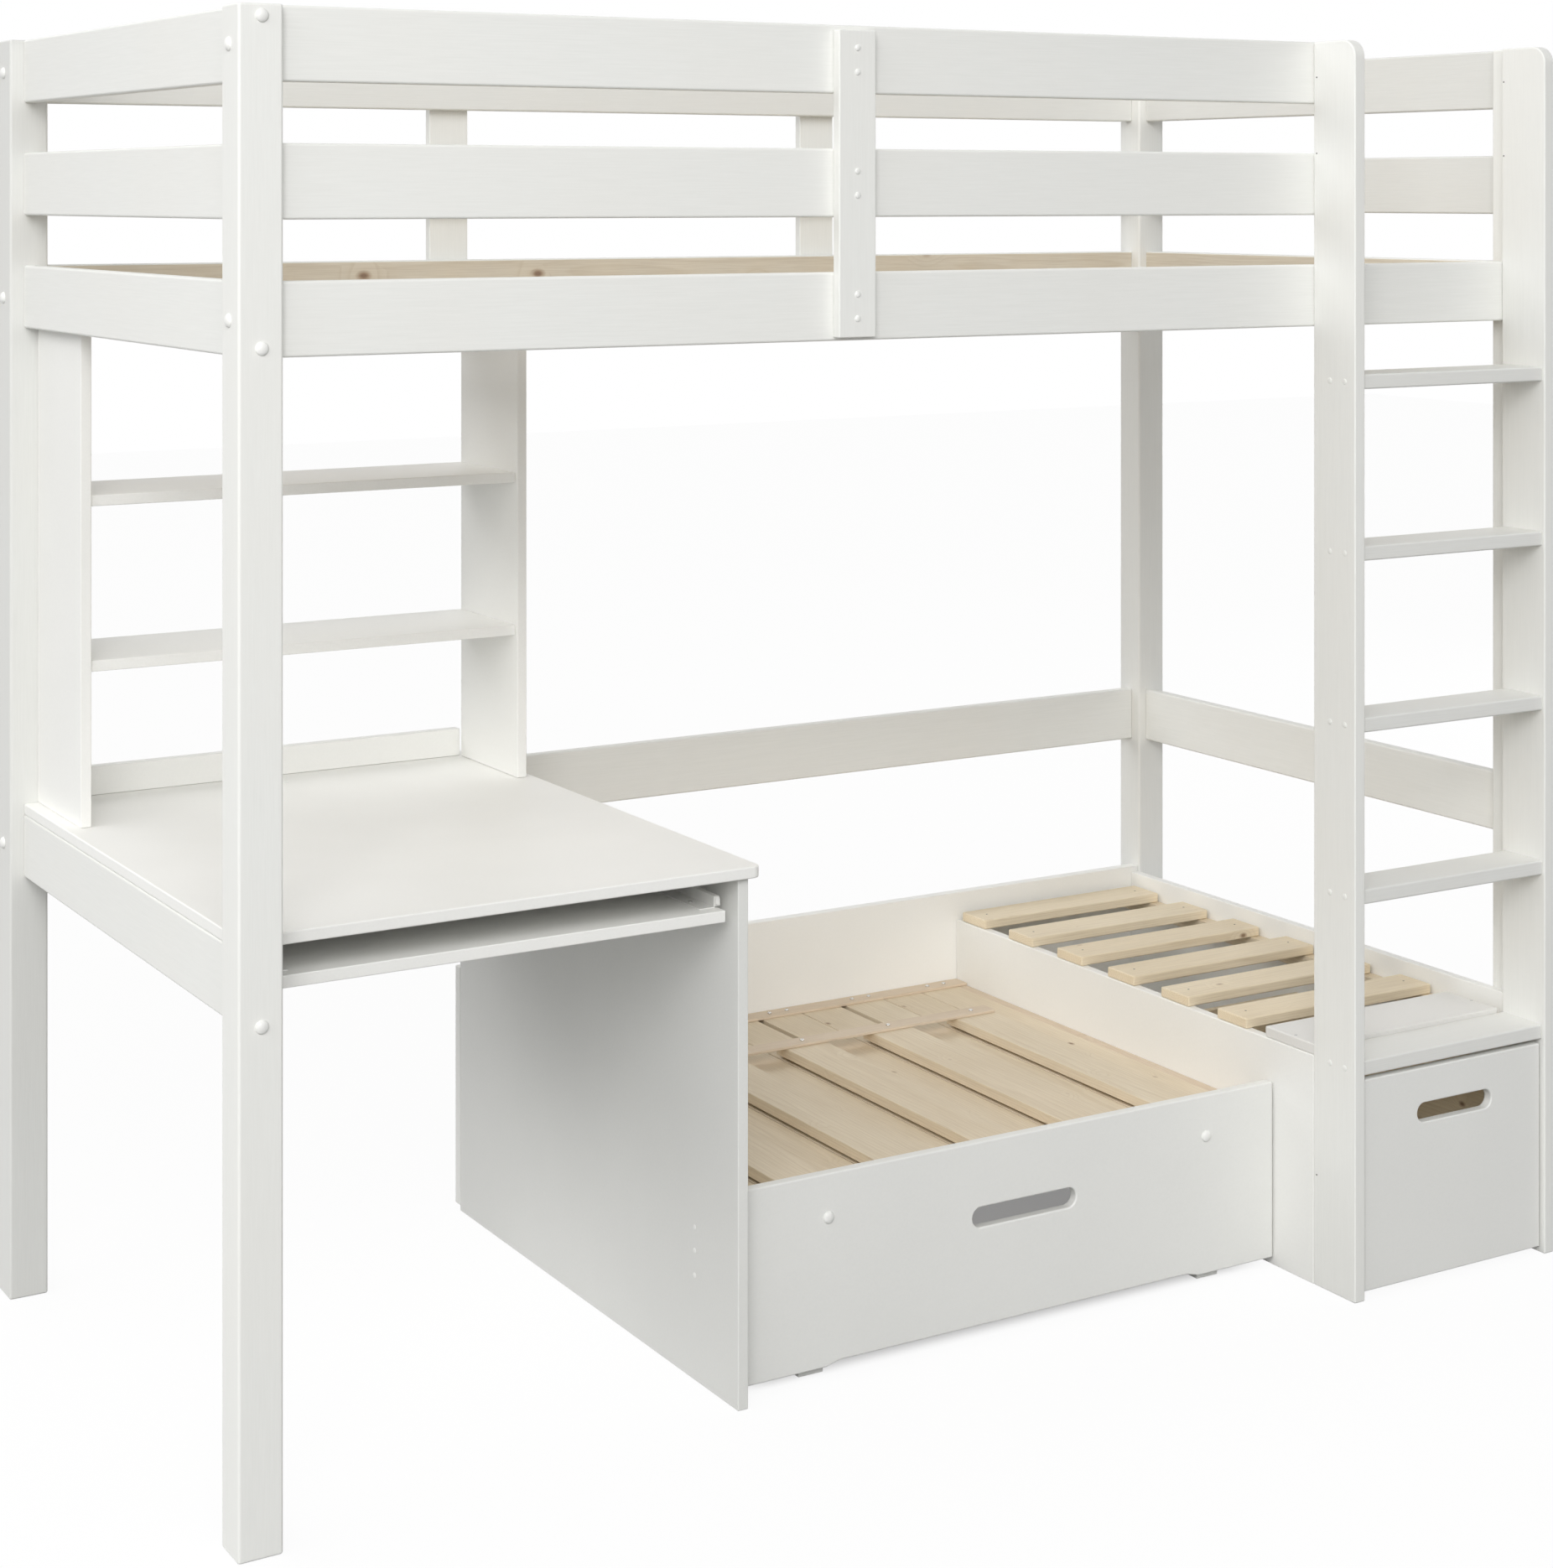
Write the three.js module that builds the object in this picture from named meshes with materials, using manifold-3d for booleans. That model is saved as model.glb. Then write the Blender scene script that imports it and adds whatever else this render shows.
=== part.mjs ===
// Loft bed with a desk and shelves at the left, a pull-out lounge under the bed,
// and a slatted bench with a drawer behind the ladder at the right.
// Millimetres. X runs along the bed from left to right, Y from front to back, Z up.
import * as THREE from 'three';
import { mergeVertices } from 'three/addons/utils/BufferGeometryUtils.js';
import Module from 'manifold-3d';

// Outer frame
const bedLength = 2146; // outside faces of the posts, left to right
const frameDepth = 1007; // outside faces of the posts, front to back
const bedHeight = 1850;
const postWidth = 57;
const postRadius = 4;
const touchGap = 0.3; // left between two pieces that lie against each other
const bond = 0.5; // how far screwed pieces of one joined frame reach into each other

// Rails round the bed
const railHeight = 92;
const railThickness = 20;
const railRadius = 3;
const longRailInset = 16; // from the outside of the posts to the long rails
const endRailInset = 21; // from the outside of the posts to the end rails
const guardGap = 73.75; // clear height between two rails of the guard
const deskRailTop = 710.5;
const battenTopInset = 7;
const battenBottomInset = 4.5;
const frontBattenWidth = 58.5;
const backBattenWidth = 67;
const frontBattenShare = 0.405; // centre, as a share of the bed's length
const backBattenShares = [0.336, 0.66];

// Slatted base of the upper bed
const ledgerSize = 30;
const upperSlatWidth = 70;
const upperSlatGap = 72;
const upperSlatThickness = 16;
const upperSlatEndGap = 6; // from the slats' ends to the long rails
const tapeWidth = 25;
const tapeThickness = 2;
const tapeShares = [0.25, 0.75]; // along a slat

// Ladder
const ladderClearWidth = 365; // between the two stiles
const stileThickness = 20;
const stileDepth = 90;
const stileTopRadius = 26;
const rungThickness = 22;
const rungDepth = 80;
const rungInset = 5; // from the stiles' front edges to the rungs
const rungPitch = 252.2;
const rungCount = 4;
const stepTop = 350; // top of the lowest, deepest step
const stepInset = 7;

// Flat boards of the desk, the shelves, the lounge and the bench
const panelThickness = 16;
const panelRadius = 2;

// Desk
const deskWidth = 733;
const deskThickness = 16;
const deskCornerRadius = 12;
const deskSideOverhang = 14.5; // past the side panel's outer face
const deskSideSetback = 11; // from the desk's front edge to the side panel
const upstandHeight = 43;
const upstandThickness = 18;

// Shelves over the desk
const shelfUprightDepth = 206.5;
const shelfSetback = 7; // from the uprights' front edges to the shelves
const shelfClearance = 218.75; // from the desk to the first shelf, and on to the next
const shelfThickness = 16;

// Keyboard tray under the desk
const trayThickness = 16;
const trayDepth = 400;
const trayDrop = 43.5; // from the desk's underside to the tray
const traySetback = 22.5; // from the desk's front edge to the tray
const traySideGap = 12.5;
const runnerPlate = 1.5;
const runnerLength = 340;
const runnerSetback = 18; // from the tray's front edge to its runners
const runnerFlange = 22;
const runnerBarWidth = 6.5;
const runnerBarHeight = 12;
const runnerClearance = 0.3;
const runnerFootHeight = 4;

// Lounge under the bed
const loungeBackHeight = 388;
const loungeBackThickness = 18;
const loungeBackClearance = 8; // above the floor
const bedBoardTop = 232;
const bedBoardThickness = 16;
const bedBoardWidth = 76;
const bedBoardNarrowGap = 2.25;
const bedBoardWideGap = 11.2;
const edgeStripWidth = 18;
const thinStripThickness = 4.5;
const thinStripWidth = 34;
const crossbarSize = 30;
const boardFrontSetback = 35; // from the pull-out front to the fixed boards

// Pull-out half of the lounge
const pullOutSideGap = 2.75;
const pullOutFrontSetback = 36; // from the side panel's front edge
const pullOutFrontTop = 278.5;
const pullOutFloorGap = 12.5;
const pullOutRelief = 5.5; // extra clearance between the two feet of the front
const pullOutFootLength = 143;
const pullOutReliefSlope = 22;
const pullOutBoardLength = 611;
const pullOutBattenHeight = 36;
const pullOutBattenDepth = 30;
const pullOutPadWidth = 50;
const pullOutPadClearance = 0.3;
const pullOutLegWidth = 40;
const handleLength = 182;
const handleHeight = 28.4;
const handleCentreHeight = 171.3;
const handleOffset = 8.4; // to the right of the front's middle

// Bench behind the ladder
const benchLeftHeight = 340.5;
const benchRightHeight = 378;
const benchSlatThickness = 16;
const benchSlatWidth = 70;
const benchSlatGap = 69.3;
const benchSlatRearGap = 15.5;
const benchSlatInset = 2; // from the left board's outer face to the slats
const benchSlatEndGap = 4.7; // from the slats to the right board
const benchFrontSlatWidth = 111;
const benchFrontSlatEndGap = 12.5;
const benchLedgerWidth = 22;
const benchLedgerHeight = 24;
const benchScrewDiameter = 5;

// Drawer under the bench
const drawerFrontGap = 2.5; // to the stiles
const drawerFrontSetback = 1; // behind the step's front edge
const drawerFloorGap = 10;
const drawerTopGap = 6.5;
const drawerSideGap = 8; // from the stiles to the drawer's sides
const drawerSideThickness = 12;
const drawerSideHeight = 245;
const drawerDepth = 560;
const drawerBottomThickness = 6;
const drawerBottomRise = 8; // from the sides' lower edges to the bottom
const drawerRunnerHeight = 24.7;
const drawerRunnerSetback = 14; // from the bench's front to its runners
const drawerRunnerTail = 60; // runner left behind the closed drawer
const drawerHandleLength = 150;
const drawerHandleHeight = 28.6;
const drawerHandleDrop = 66.8; // from the front's top edge to the handle's centre
const drawerHandleOffset = 3.5; // to the right of the front's middle

// Finishes
const finishes = {
  paint: { color: 0xe4e5e1, roughness: 0.5, metalness: 0 },
  pine: { color: 0xd9c59c, roughness: 0.65, metalness: 0 },
  metal: { color: 0xc9cacb, roughness: 0.35, metalness: 0.8 },
};

// Places that several pieces share
const railTops = [0, 1, 2].map((level) => bedHeight - level * (railHeight + guardGap));
const [topRailTop, , bedRailTop] = railTops;
const bedRailBottom = bedRailTop - railHeight;
const backPostFront = frameDepth - postWidth;
const rightPostLeft = bedLength - postWidth;
const frontRail = [longRailInset, longRailInset + railThickness];
const backRail = [frameDepth - longRailInset - railThickness, frameDepth - longRailInset];
const leftRail = [endRailInset, endRailInset + railThickness];
const rightRail = [bedLength - endRailInset - railThickness, bedLength - endRailInset];
const betweenPostsX = [postWidth + touchGap, rightPostLeft - touchGap];
const betweenPostsY = [postWidth + touchGap, backPostFront - touchGap];
const stileY = [longRailInset - touchGap - stileDepth, longRailInset - touchGap];
const rightStile = [rightPostLeft - touchGap - stileThickness, rightPostLeft - touchGap];
const leftStile = [
  rightStile[0] - ladderClearWidth - stileThickness,
  rightStile[0] - ladderClearWidth,
];
const betweenStiles = [leftStile[1] + touchGap, rightStile[0] - touchGap];
const deskBottom = deskRailTop + touchGap;
const deskTop = deskBottom + deskThickness;
const deskFront = postWidth + touchGap;
const deskRight = endRailInset + deskWidth;
const deskSide = [
  deskRight - deskSideOverhang - panelThickness,
  deskRight - deskSideOverhang,
];
const loungeBack = [backRail[0] - loungeBackThickness, backRail[0]];
const benchFront = stileY[1] + touchGap;
const benchRear = loungeBack[0] - touchGap;
const benchLeft = [leftStile[0], leftStile[0] + panelThickness];
const benchRight = [rightPostLeft - touchGap - panelThickness, rightPostLeft - touchGap];
const loungeX = [deskSide[1] + touchGap, benchLeft[0] - touchGap];
const pullOutFrontY = [
  deskFront + deskSideSetback + pullOutFrontSetback,
  deskFront + deskSideSetback + pullOutFrontSetback + panelThickness,
];
const pullOutBoardBottom = bedBoardTop + thinStripThickness;

const wasm = await Module();
wasm.setup();

const bed = new THREE.Group();
bed.position.set(-bedLength / 2, -(stileY[0] + frameDepth) / 2, 0);

// Outline of a rectangle with round corners, from low to high along both of its axes
function roundedOutline([x0, x1], [y0, y1], radius) {
  const r = Math.min(radius, (x1 - x0) / 2, (y1 - y0) / 2);
  const outline = new THREE.Shape();
  outline.absarc(x1 - r, y0 + r, r, -Math.PI / 2, 0);
  outline.absarc(x1 - r, y1 - r, r, 0, Math.PI / 2);
  outline.absarc(x0 + r, y1 - r, r, Math.PI / 2, Math.PI);
  outline.absarc(x0 + r, y0 + r, r, Math.PI, 1.5 * Math.PI);
  outline.closePath();
  return outline;
}

// An outline given across an axis becomes a solid that runs along that axis.
// Across X an outline's axes are Y and Z, across Y they are X and Z, and across Z X and Y.
function extrudeAlong(axis, outline, [from, to], curveSegments = 3) {
  const settings = { depth: to - from, bevelEnabled: false, curveSegments };
  const geometry = new THREE.ExtrudeGeometry(outline, settings);
  if (axis === 'x') {
    geometry.rotateX(Math.PI / 2);
    geometry.rotateZ(Math.PI / 2);
    geometry.translate(from, 0, 0);
  } else if (axis === 'y') {
    geometry.rotateX(Math.PI / 2);
    geometry.translate(0, to, 0);
  } else {
    geometry.translate(0, 0, from);
  }
  return geometry;
}

// A straight board with its four long edges rounded
function board(axis, x, y, z, radius = panelRadius) {
  if (axis === 'x') return extrudeAlong('x', roundedOutline(y, z, radius), x);
  if (axis === 'y') return extrudeAlong('y', roundedOutline(x, z, radius), y);
  return extrudeAlong('z', roundedOutline(x, y, radius), z);
}

function manifoldOf(geometry) {
  const bare = geometry.clone();
  bare.deleteAttribute('normal');
  bare.deleteAttribute('uv');
  const merged = mergeVertices(bare);
  const mesh = new wasm.Mesh({
    numProp: 3,
    vertProperties: merged.attributes.position.array,
    triVerts: new Uint32Array(merged.index.array),
  });
  return new wasm.Manifold(mesh);
}

// Pieces that are screwed or glued into one frame become one solid
function joined(geometries) {
  const solid = geometries.map(manifoldOf).reduce((sum, next) => sum.add(next));
  const mesh = solid.getMesh();
  const geometry = new THREE.BufferGeometry();
  geometry.setAttribute('position', new THREE.BufferAttribute(mesh.vertProperties, 3));
  geometry.setIndex(new THREE.BufferAttribute(mesh.triVerts, 1));
  geometry.computeVertexNormals();
  return geometry;
}

// Each piece is a mesh placed by the centre of its own geometry
function add(name, finish, geometry) {
  geometry.computeBoundingBox();
  const centre = geometry.boundingBox.getCenter(new THREE.Vector3());
  geometry.translate(-centre.x, -centre.y, -centre.z);
  const mesh = new THREE.Mesh(geometry, new THREE.MeshStandardMaterial(finishes[finish]));
  mesh.name = name;
  mesh.position.copy(centre);
  bed.add(mesh);
}

function addPosts() {
  const lefts = { left: [0, postWidth], right: [rightPostLeft, bedLength] };
  const fronts = { front: [0, postWidth], back: [backPostFront, frameDepth] };
  for (const [depthName, y] of Object.entries(fronts)) {
    for (const [sideName, x] of Object.entries(lefts)) {
      const post = board('z', x, y, [0, bedHeight], postRadius);
      add(`post_${depthName}_${sideName}`, 'paint', post);
    }
  }
}

function addLongRail(name, x, y, top) {
  const rail = board('x', x, y, [top - railHeight, top], railRadius);
  add(name, 'paint', rail);
}

function addEndRail(name, x, top) {
  const rail = board('y', x, betweenPostsY, [top - railHeight, top], railRadius);
  add(name, 'paint', rail);
}

// The two upper rails of the front end behind the ladder's left stile, so that a person
// can climb in over the bed's own rail.
function addRails() {
  const names = ['top', 'middle', 'bottom'];
  const shortX = [betweenPostsX[0], leftStile[1]];
  names.forEach((name, level) => {
    const frontX = name === 'bottom' ? betweenPostsX : shortX;
    addLongRail(`front_rail_${name}`, frontX, frontRail, railTops[level]);
    addLongRail(`back_rail_${name}`, betweenPostsX, backRail, railTops[level]);
    addEndRail(`left_end_rail_${name}`, leftRail, railTops[level]);
    addEndRail(`right_end_rail_${name}`, rightRail, railTops[level]);
  });
  addLongRail('back_rail_lower', betweenPostsX, backRail, deskRailTop);
  addEndRail('left_end_rail_lower', leftRail, deskRailTop);
  addEndRail('right_end_rail_lower', rightRail, deskRailTop);
}

// Upright battens that tie the three rails of a long side together, flush with the posts
function addBattens() {
  const z = [bedRailBottom + battenBottomInset, topRailTop - battenTopInset];
  const frontY = [0, frontRail[0] - touchGap];
  const backY = [backRail[1] + touchGap, frameDepth];
  const spanAt = (share, width) => [
    bedLength * share - width / 2,
    bedLength * share + width / 2,
  ];
  const frontX = spanAt(frontBattenShare, frontBattenWidth);
  add('front_batten', 'paint', board('z', frontX, frontY, z));
  backBattenShares.forEach((share, index) => {
    const name = `back_batten_${['left', 'right'][index]}`;
    const x = spanAt(share, backBattenWidth);
    add(name, 'paint', board('z', x, backY, z));
  });
}

// Ledgers on the long rails, and the slats that lie on them, held together by two tapes
function addUpperBase() {
  const ledgerZ = [bedRailBottom, bedRailBottom + ledgerSize];
  const frontY = [frontRail[1] + touchGap, frontRail[1] + touchGap + ledgerSize];
  const backY = [backRail[0] - touchGap - ledgerSize, backRail[0] - touchGap];
  add('ledger_front', 'pine', board('x', betweenPostsX, frontY, ledgerZ));
  add('ledger_back', 'pine', board('x', betweenPostsX, backY, ledgerZ));

  const slatZ = [ledgerZ[1] + touchGap, ledgerZ[1] + touchGap + upperSlatThickness];
  const slatY = [frontRail[1] + upperSlatEndGap, backRail[0] - upperSlatEndGap];
  const room = betweenPostsX[1] - betweenPostsX[0];
  const pitch = upperSlatWidth + upperSlatGap;
  const count = Math.floor((room + upperSlatGap) / pitch);
  const firstX = betweenPostsX[0] + (room - count * pitch + upperSlatGap) / 2;
  const pieces = [];
  for (let index = 0; index < count; index += 1) {
    const left = firstX + index * pitch;
    pieces.push(board('y', [left, left + upperSlatWidth], slatY, slatZ, 0));
  }
  const lastX = firstX + (count - 1) * pitch + upperSlatWidth;
  for (const share of tapeShares) {
    const middle = slatY[0] + (slatY[1] - slatY[0]) * share;
    const tapeY = [middle - tapeWidth / 2, middle + tapeWidth / 2];
    const tapeZ = [slatZ[0] + bond - tapeThickness, slatZ[0] + bond];
    pieces.push(board('x', [firstX, lastX], tapeY, tapeZ, 0));
  }
  add('upper_slat_base', 'pine', joined(pieces));
}

// A stile is a flat board whose front corner is rounded at the top
function stileGeometry(x) {
  const [front, rear] = stileY;
  const outline = new THREE.Shape();
  const r = Math.min(stileTopRadius, stileDepth / 2);
  outline.moveTo(front, 0);
  outline.lineTo(rear, 0);
  outline.lineTo(rear, bedHeight);
  outline.absarc(front + r, bedHeight - r, r, Math.PI / 2, Math.PI);
  outline.closePath();
  return extrudeAlong('x', outline, x, 8);
}

function addLadder() {
  add('ladder_stile_left', 'paint', stileGeometry(leftStile));
  add('ladder_stile_right', 'paint', stileGeometry(rightStile));
  const rungY = [stileY[0] + rungInset, stileY[0] + rungInset + rungDepth];
  for (let number = 1; number <= rungCount; number += 1) {
    const top = stepTop + number * rungPitch;
    const rung = board('x', betweenStiles, rungY, [top - rungThickness, top], railRadius);
    add(`ladder_rung_${number}`, 'paint', rung);
  }
  const stepY = [stileY[0] + stepInset, stileY[1]];
  const stepZ = [stepTop - rungThickness, stepTop];
  add('step_board', 'paint', board('x', betweenStiles, stepY, stepZ, railRadius));
}

// The desk top lies on the left and back rails and is notched round the back post
function addDesk() {
  const left = endRailInset;
  const rear = backRail[1];
  const r = deskCornerRadius;
  const outline = new THREE.Shape();
  outline.moveTo(left, deskFront);
  outline.lineTo(deskRight - r, deskFront);
  outline.absarc(deskRight - r, deskFront + r, r, -Math.PI / 2, 0);
  outline.lineTo(deskRight, rear);
  outline.lineTo(betweenPostsX[0], rear);
  outline.lineTo(betweenPostsX[0], betweenPostsY[1]);
  outline.lineTo(left, betweenPostsY[1]);
  outline.closePath();
  add('desk_top', 'paint', extrudeAlong('z', outline, [deskBottom, deskTop], 6));

  const sideY = [deskFront + deskSideSetback, benchRear];
  const sideZ = [0, deskBottom - touchGap];
  add('desk_side_panel', 'paint', board('z', deskSide, sideY, sideZ));

  const upstandX = [betweenPostsX[0], deskSide[0] - touchGap];
  const upstandY = [backRail[0] - touchGap - upstandThickness, backRail[0] - touchGap];
  const upstandZ = [deskTop + touchGap, deskTop + touchGap + upstandHeight];
  add('desk_upstand', 'paint', board('x', upstandX, upstandY, upstandZ));
}

// Two uprights stand on the desk and carry the shelves between them
function addShelves() {
  const rear = betweenPostsY[1];
  const y = [rear - shelfUprightDepth, rear];
  const z = [deskTop + touchGap, bedRailBottom - touchGap];
  const left = [leftRail[1] + touchGap, leftRail[1] + touchGap + panelThickness];
  add('shelf_upright_left', 'paint', board('z', left, y, z));
  add('shelf_upright_right', 'paint', board('z', deskSide, y, z));
  const shelfX = [left[1] + touchGap, deskSide[0] - touchGap];
  const shelfY = [y[0] + shelfSetback, rear];
  ['lower', 'upper'].forEach((name, index) => {
    const bottom = deskTop + (index + 1) * shelfClearance + index * shelfThickness;
    const shelfZ = [bottom, bottom + shelfThickness];
    add(`shelf_${name}`, 'paint', board('x', shelfX, shelfY, shelfZ));
  });
}

// Polygon across Y from a list of points, mirrored about a middle line for the other side
function runnerProfile(points, middle, mirrored) {
  const placed = points.map(([x, z]) => new THREE.Vector2(mirrored ? 2 * middle - x : x, z));
  return new THREE.Shape(mirrored ? placed.reverse() : placed);
}

// The tray hangs on two metal slides: a channel on the desk holds a bar on the tray
function addKeyboardTray() {
  const front = deskFront + traySetback;
  const x = [postWidth + traySideGap, deskSide[0] - traySideGap];
  const top = deskBottom - trayDrop;
  const y = [front, front + trayDepth];
  add('keyboard_tray', 'paint', board('x', x, y, [top - trayThickness, top]));

  const middle = (x[0] + x[1]) / 2;
  const footBottom = top + touchGap;
  const footTop = footBottom + runnerPlate;
  const barBottom = footBottom + runnerFootHeight;
  const barTop = barBottom + runnerBarHeight;
  const barRight = x[1];
  const barLeft = barRight - runnerBarWidth;
  const plateLeft = barLeft - runnerPlate;
  const inner = [
    [plateLeft - runnerFlange, footBottom],
    [barLeft, footBottom],
    [barLeft, barBottom],
    [barRight, barBottom],
    [barRight, barTop],
    [plateLeft, barTop],
    [plateLeft, footTop],
    [plateLeft - runnerFlange, footTop],
  ];
  const webLeft = barRight + runnerClearance;
  const webRight = webLeft + runnerPlate;
  const lipTop = barBottom - runnerClearance;
  const hangerTop = deskBottom - touchGap;
  const outer = [
    [barLeft + runnerClearance, lipTop - runnerPlate],
    [webRight, lipTop - runnerPlate],
    [webRight, hangerTop],
    [webRight - runnerFlange, hangerTop],
    [webRight - runnerFlange, hangerTop - runnerPlate],
    [webLeft, hangerTop - runnerPlate],
    [webLeft, lipTop],
    [barLeft + runnerClearance, lipTop],
  ];
  const runnerY = [front + runnerSetback, front + runnerSetback + runnerLength];
  for (const side of ['left', 'right']) {
    const mirrored = side === 'left';
    const innerShape = runnerProfile(inner, middle, mirrored);
    const outerShape = runnerProfile(outer, middle, mirrored);
    add(`tray_slide_${side}`, 'metal', extrudeAlong('y', innerShape, runnerY));
    add(`tray_channel_${side}`, 'metal', extrudeAlong('y', outerShape, runnerY));
  }
}

// Places of the lounge's boards from right to left. Every second board stays open to view,
// and the pull-out boards lie over the ones between. The gap left of an open board is wide,
// apart from the first one, and all the others are narrow.
function bedBoardPlaces() {
  const [left, right] = loungeX;
  const limit = left + edgeStripWidth + bedBoardNarrowGap;
  const fixed = [];
  const covered = [];
  let x = right - edgeStripWidth - bedBoardWidth;
  let turn = 0;
  while (x > limit) {
    const isFixed = turn % 2 === 0;
    (isFixed ? fixed : covered).push([x, x + bedBoardWidth]);
    const gap = isFixed && turn > 0 ? bedBoardWideGap : bedBoardNarrowGap;
    x -= bedBoardWidth + gap;
    turn += 1;
  }
  return { fixed, covered };
}

// The board that closes the lounge at the back, and the bar that carries the boards there
function addLoungeBack() {
  const x = [deskSide[0], rightPostLeft - touchGap];
  const z = [loungeBackClearance, loungeBackHeight];
  add('lounge_back_panel', 'paint', board('x', x, loungeBack, z));
  const barTop = bedBoardTop - bedBoardThickness - touchGap;
  const barY = [benchRear - crossbarSize, benchRear];
  add('lounge_rear_crossbar', 'pine', board('x', loungeX, barY, [barTop - crossbarSize, barTop]));
}

// The lounge's fixed boards with the strip that ties them together at the back, the
// crossbar under their front ends, and a thin strip there that the pull-out boards slide on
function addFixedBoards() {
  const { fixed, covered } = bedBoardPlaces();
  const front = pullOutFrontY[1] + boardFrontSetback;
  const y = [front, benchRear];
  const z = [bedBoardTop - bedBoardThickness, bedBoardTop];
  const stripZ = [bedBoardTop - bond, bedBoardTop + thinStripThickness];
  const slideZ = [bedBoardTop - bond, bedBoardTop + thinStripThickness - pullOutPadClearance];
  const [left, right] = loungeX;
  const edges = [
    [left, left + edgeStripWidth],
    [right - edgeStripWidth, right],
  ];
  const pieces = [...fixed, ...covered, ...edges].map((x) => board('y', x, y, z, 0));
  const rearY = [benchRear - thinStripWidth, benchRear];
  pieces.push(board('x', loungeX, rearY, stripZ, 0));
  pieces.push(board('x', loungeX, [front, front + thinStripWidth], slideZ, 0));
  const barZ = [z[0] - crossbarSize, z[0] + bond];
  pieces.push(board('x', loungeX, [front, front + crossbarSize], barZ, 0));
  add('fixed_boards', 'pine', joined(pieces));
}

// A slot with round ends, for a hand
function slotHole(centreX, centreZ, length, height) {
  const r = height / 2;
  const reach = length / 2 - r;
  const hole = new THREE.Path();
  hole.absarc(centreX + reach, centreZ, r, -Math.PI / 2, Math.PI / 2);
  hole.absarc(centreX - reach, centreZ, r, Math.PI / 2, 1.5 * Math.PI);
  hole.closePath();
  return hole;
}

// Front of the pull-out, standing on two feet with a slight relief between them
function addPullOutFront() {
  const left = loungeX[0] - touchGap + pullOutSideGap;
  const right = loungeX[1] + touchGap - pullOutSideGap;
  const low = pullOutFloorGap;
  const high = pullOutFloorGap + pullOutRelief;
  const footEnd = pullOutFootLength;
  const slopeEnd = pullOutFootLength + pullOutReliefSlope;
  const outline = new THREE.Shape();
  outline.moveTo(left, low);
  outline.lineTo(left + footEnd, low);
  outline.lineTo(left + slopeEnd, high);
  outline.lineTo(right - slopeEnd, high);
  outline.lineTo(right - footEnd, low);
  outline.lineTo(right, low);
  outline.lineTo(right, pullOutFrontTop);
  outline.lineTo(left, pullOutFrontTop);
  outline.closePath();
  const centre = (left + right) / 2 + handleOffset;
  outline.holes.push(slotHole(centre, handleCentreHeight, handleLength, handleHeight));
  add('pull_out_front', 'paint', extrudeAlong('y', outline, pullOutFrontY, 6));
}

// The pull-out boards with the thin strip on their rear ends, a pad under each rear end
// and the batten that is screwed to the front, which stands on two legs
function addPullOutBoards() {
  const { covered } = bedBoardPlaces();
  const front = pullOutFrontY[1] + touchGap;
  const rear = front + pullOutBoardLength;
  const z = [pullOutBoardBottom, pullOutBoardBottom + bedBoardThickness];
  const span = [
    Math.min(...covered.map(([left]) => left)),
    Math.max(...covered.map(([, right]) => right)),
  ];
  const padInset = (bedBoardWidth - pullOutPadWidth) / 2;
  const padZ = [bedBoardTop + pullOutPadClearance, z[0] + bond];
  const pieces = [];
  for (const [left, right] of covered) {
    pieces.push(board('y', [left, right], [front, rear], z, 0));
    const padX = [left + padInset, right - padInset];
    pieces.push(board('x', padX, [rear - thinStripWidth, rear], padZ, 0));
  }
  const stripZ = [z[1] - bond, z[1] + thinStripThickness];
  pieces.push(board('x', span, [rear - thinStripWidth, rear], stripZ, 0));
  const battenY = [front, front + pullOutBattenDepth];
  pieces.push(board('x', span, battenY, [z[0] - pullOutBattenHeight, z[0] + bond], 0));
  add('pull_out_boards', 'pine', joined(pieces));

  const legZ = [0, z[0] - pullOutBattenHeight - touchGap];
  const leftLeg = [span[0], span[0] + pullOutLegWidth];
  const rightLeg = [span[1] - pullOutLegWidth, span[1]];
  add('pull_out_leg_left', 'pine', board('z', leftLeg, battenY, legZ));
  add('pull_out_leg_right', 'pine', board('z', rightLeg, battenY, legZ));
}

// The bench's two upright boards, each with the runner that carries the drawer
function addBenchBoards() {
  const drawerLeft = leftStile[1] + drawerSideGap;
  const drawerRight = rightStile[0] - drawerSideGap;
  const y = [benchFront, benchRear];
  const front = benchFront + drawerRunnerSetback;
  const runnerY = [front, stileY[0] + drawerDepth + drawerRunnerTail];
  const runnerZ = [0, drawerRunnerHeight];
  const leftBoard = board('y', benchLeft, y, [0, benchLeftHeight]);
  const leftRunnerX = [benchLeft[1] - bond, drawerLeft + drawerSideThickness];
  const leftRunner = board('y', leftRunnerX, runnerY, runnerZ, 0);
  add('bench_board_left', 'paint', joined([leftBoard, leftRunner]));
  const rightBoard = board('y', benchRight, y, [0, benchRightHeight]);
  const rightRunnerX = [drawerRight - drawerSideThickness, benchRight[0] + bond];
  const rightRunner = board('y', rightRunnerX, runnerY, runnerZ, 0);
  add('bench_board_right', 'paint', joined([rightBoard, rightRunner]));
}

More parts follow.
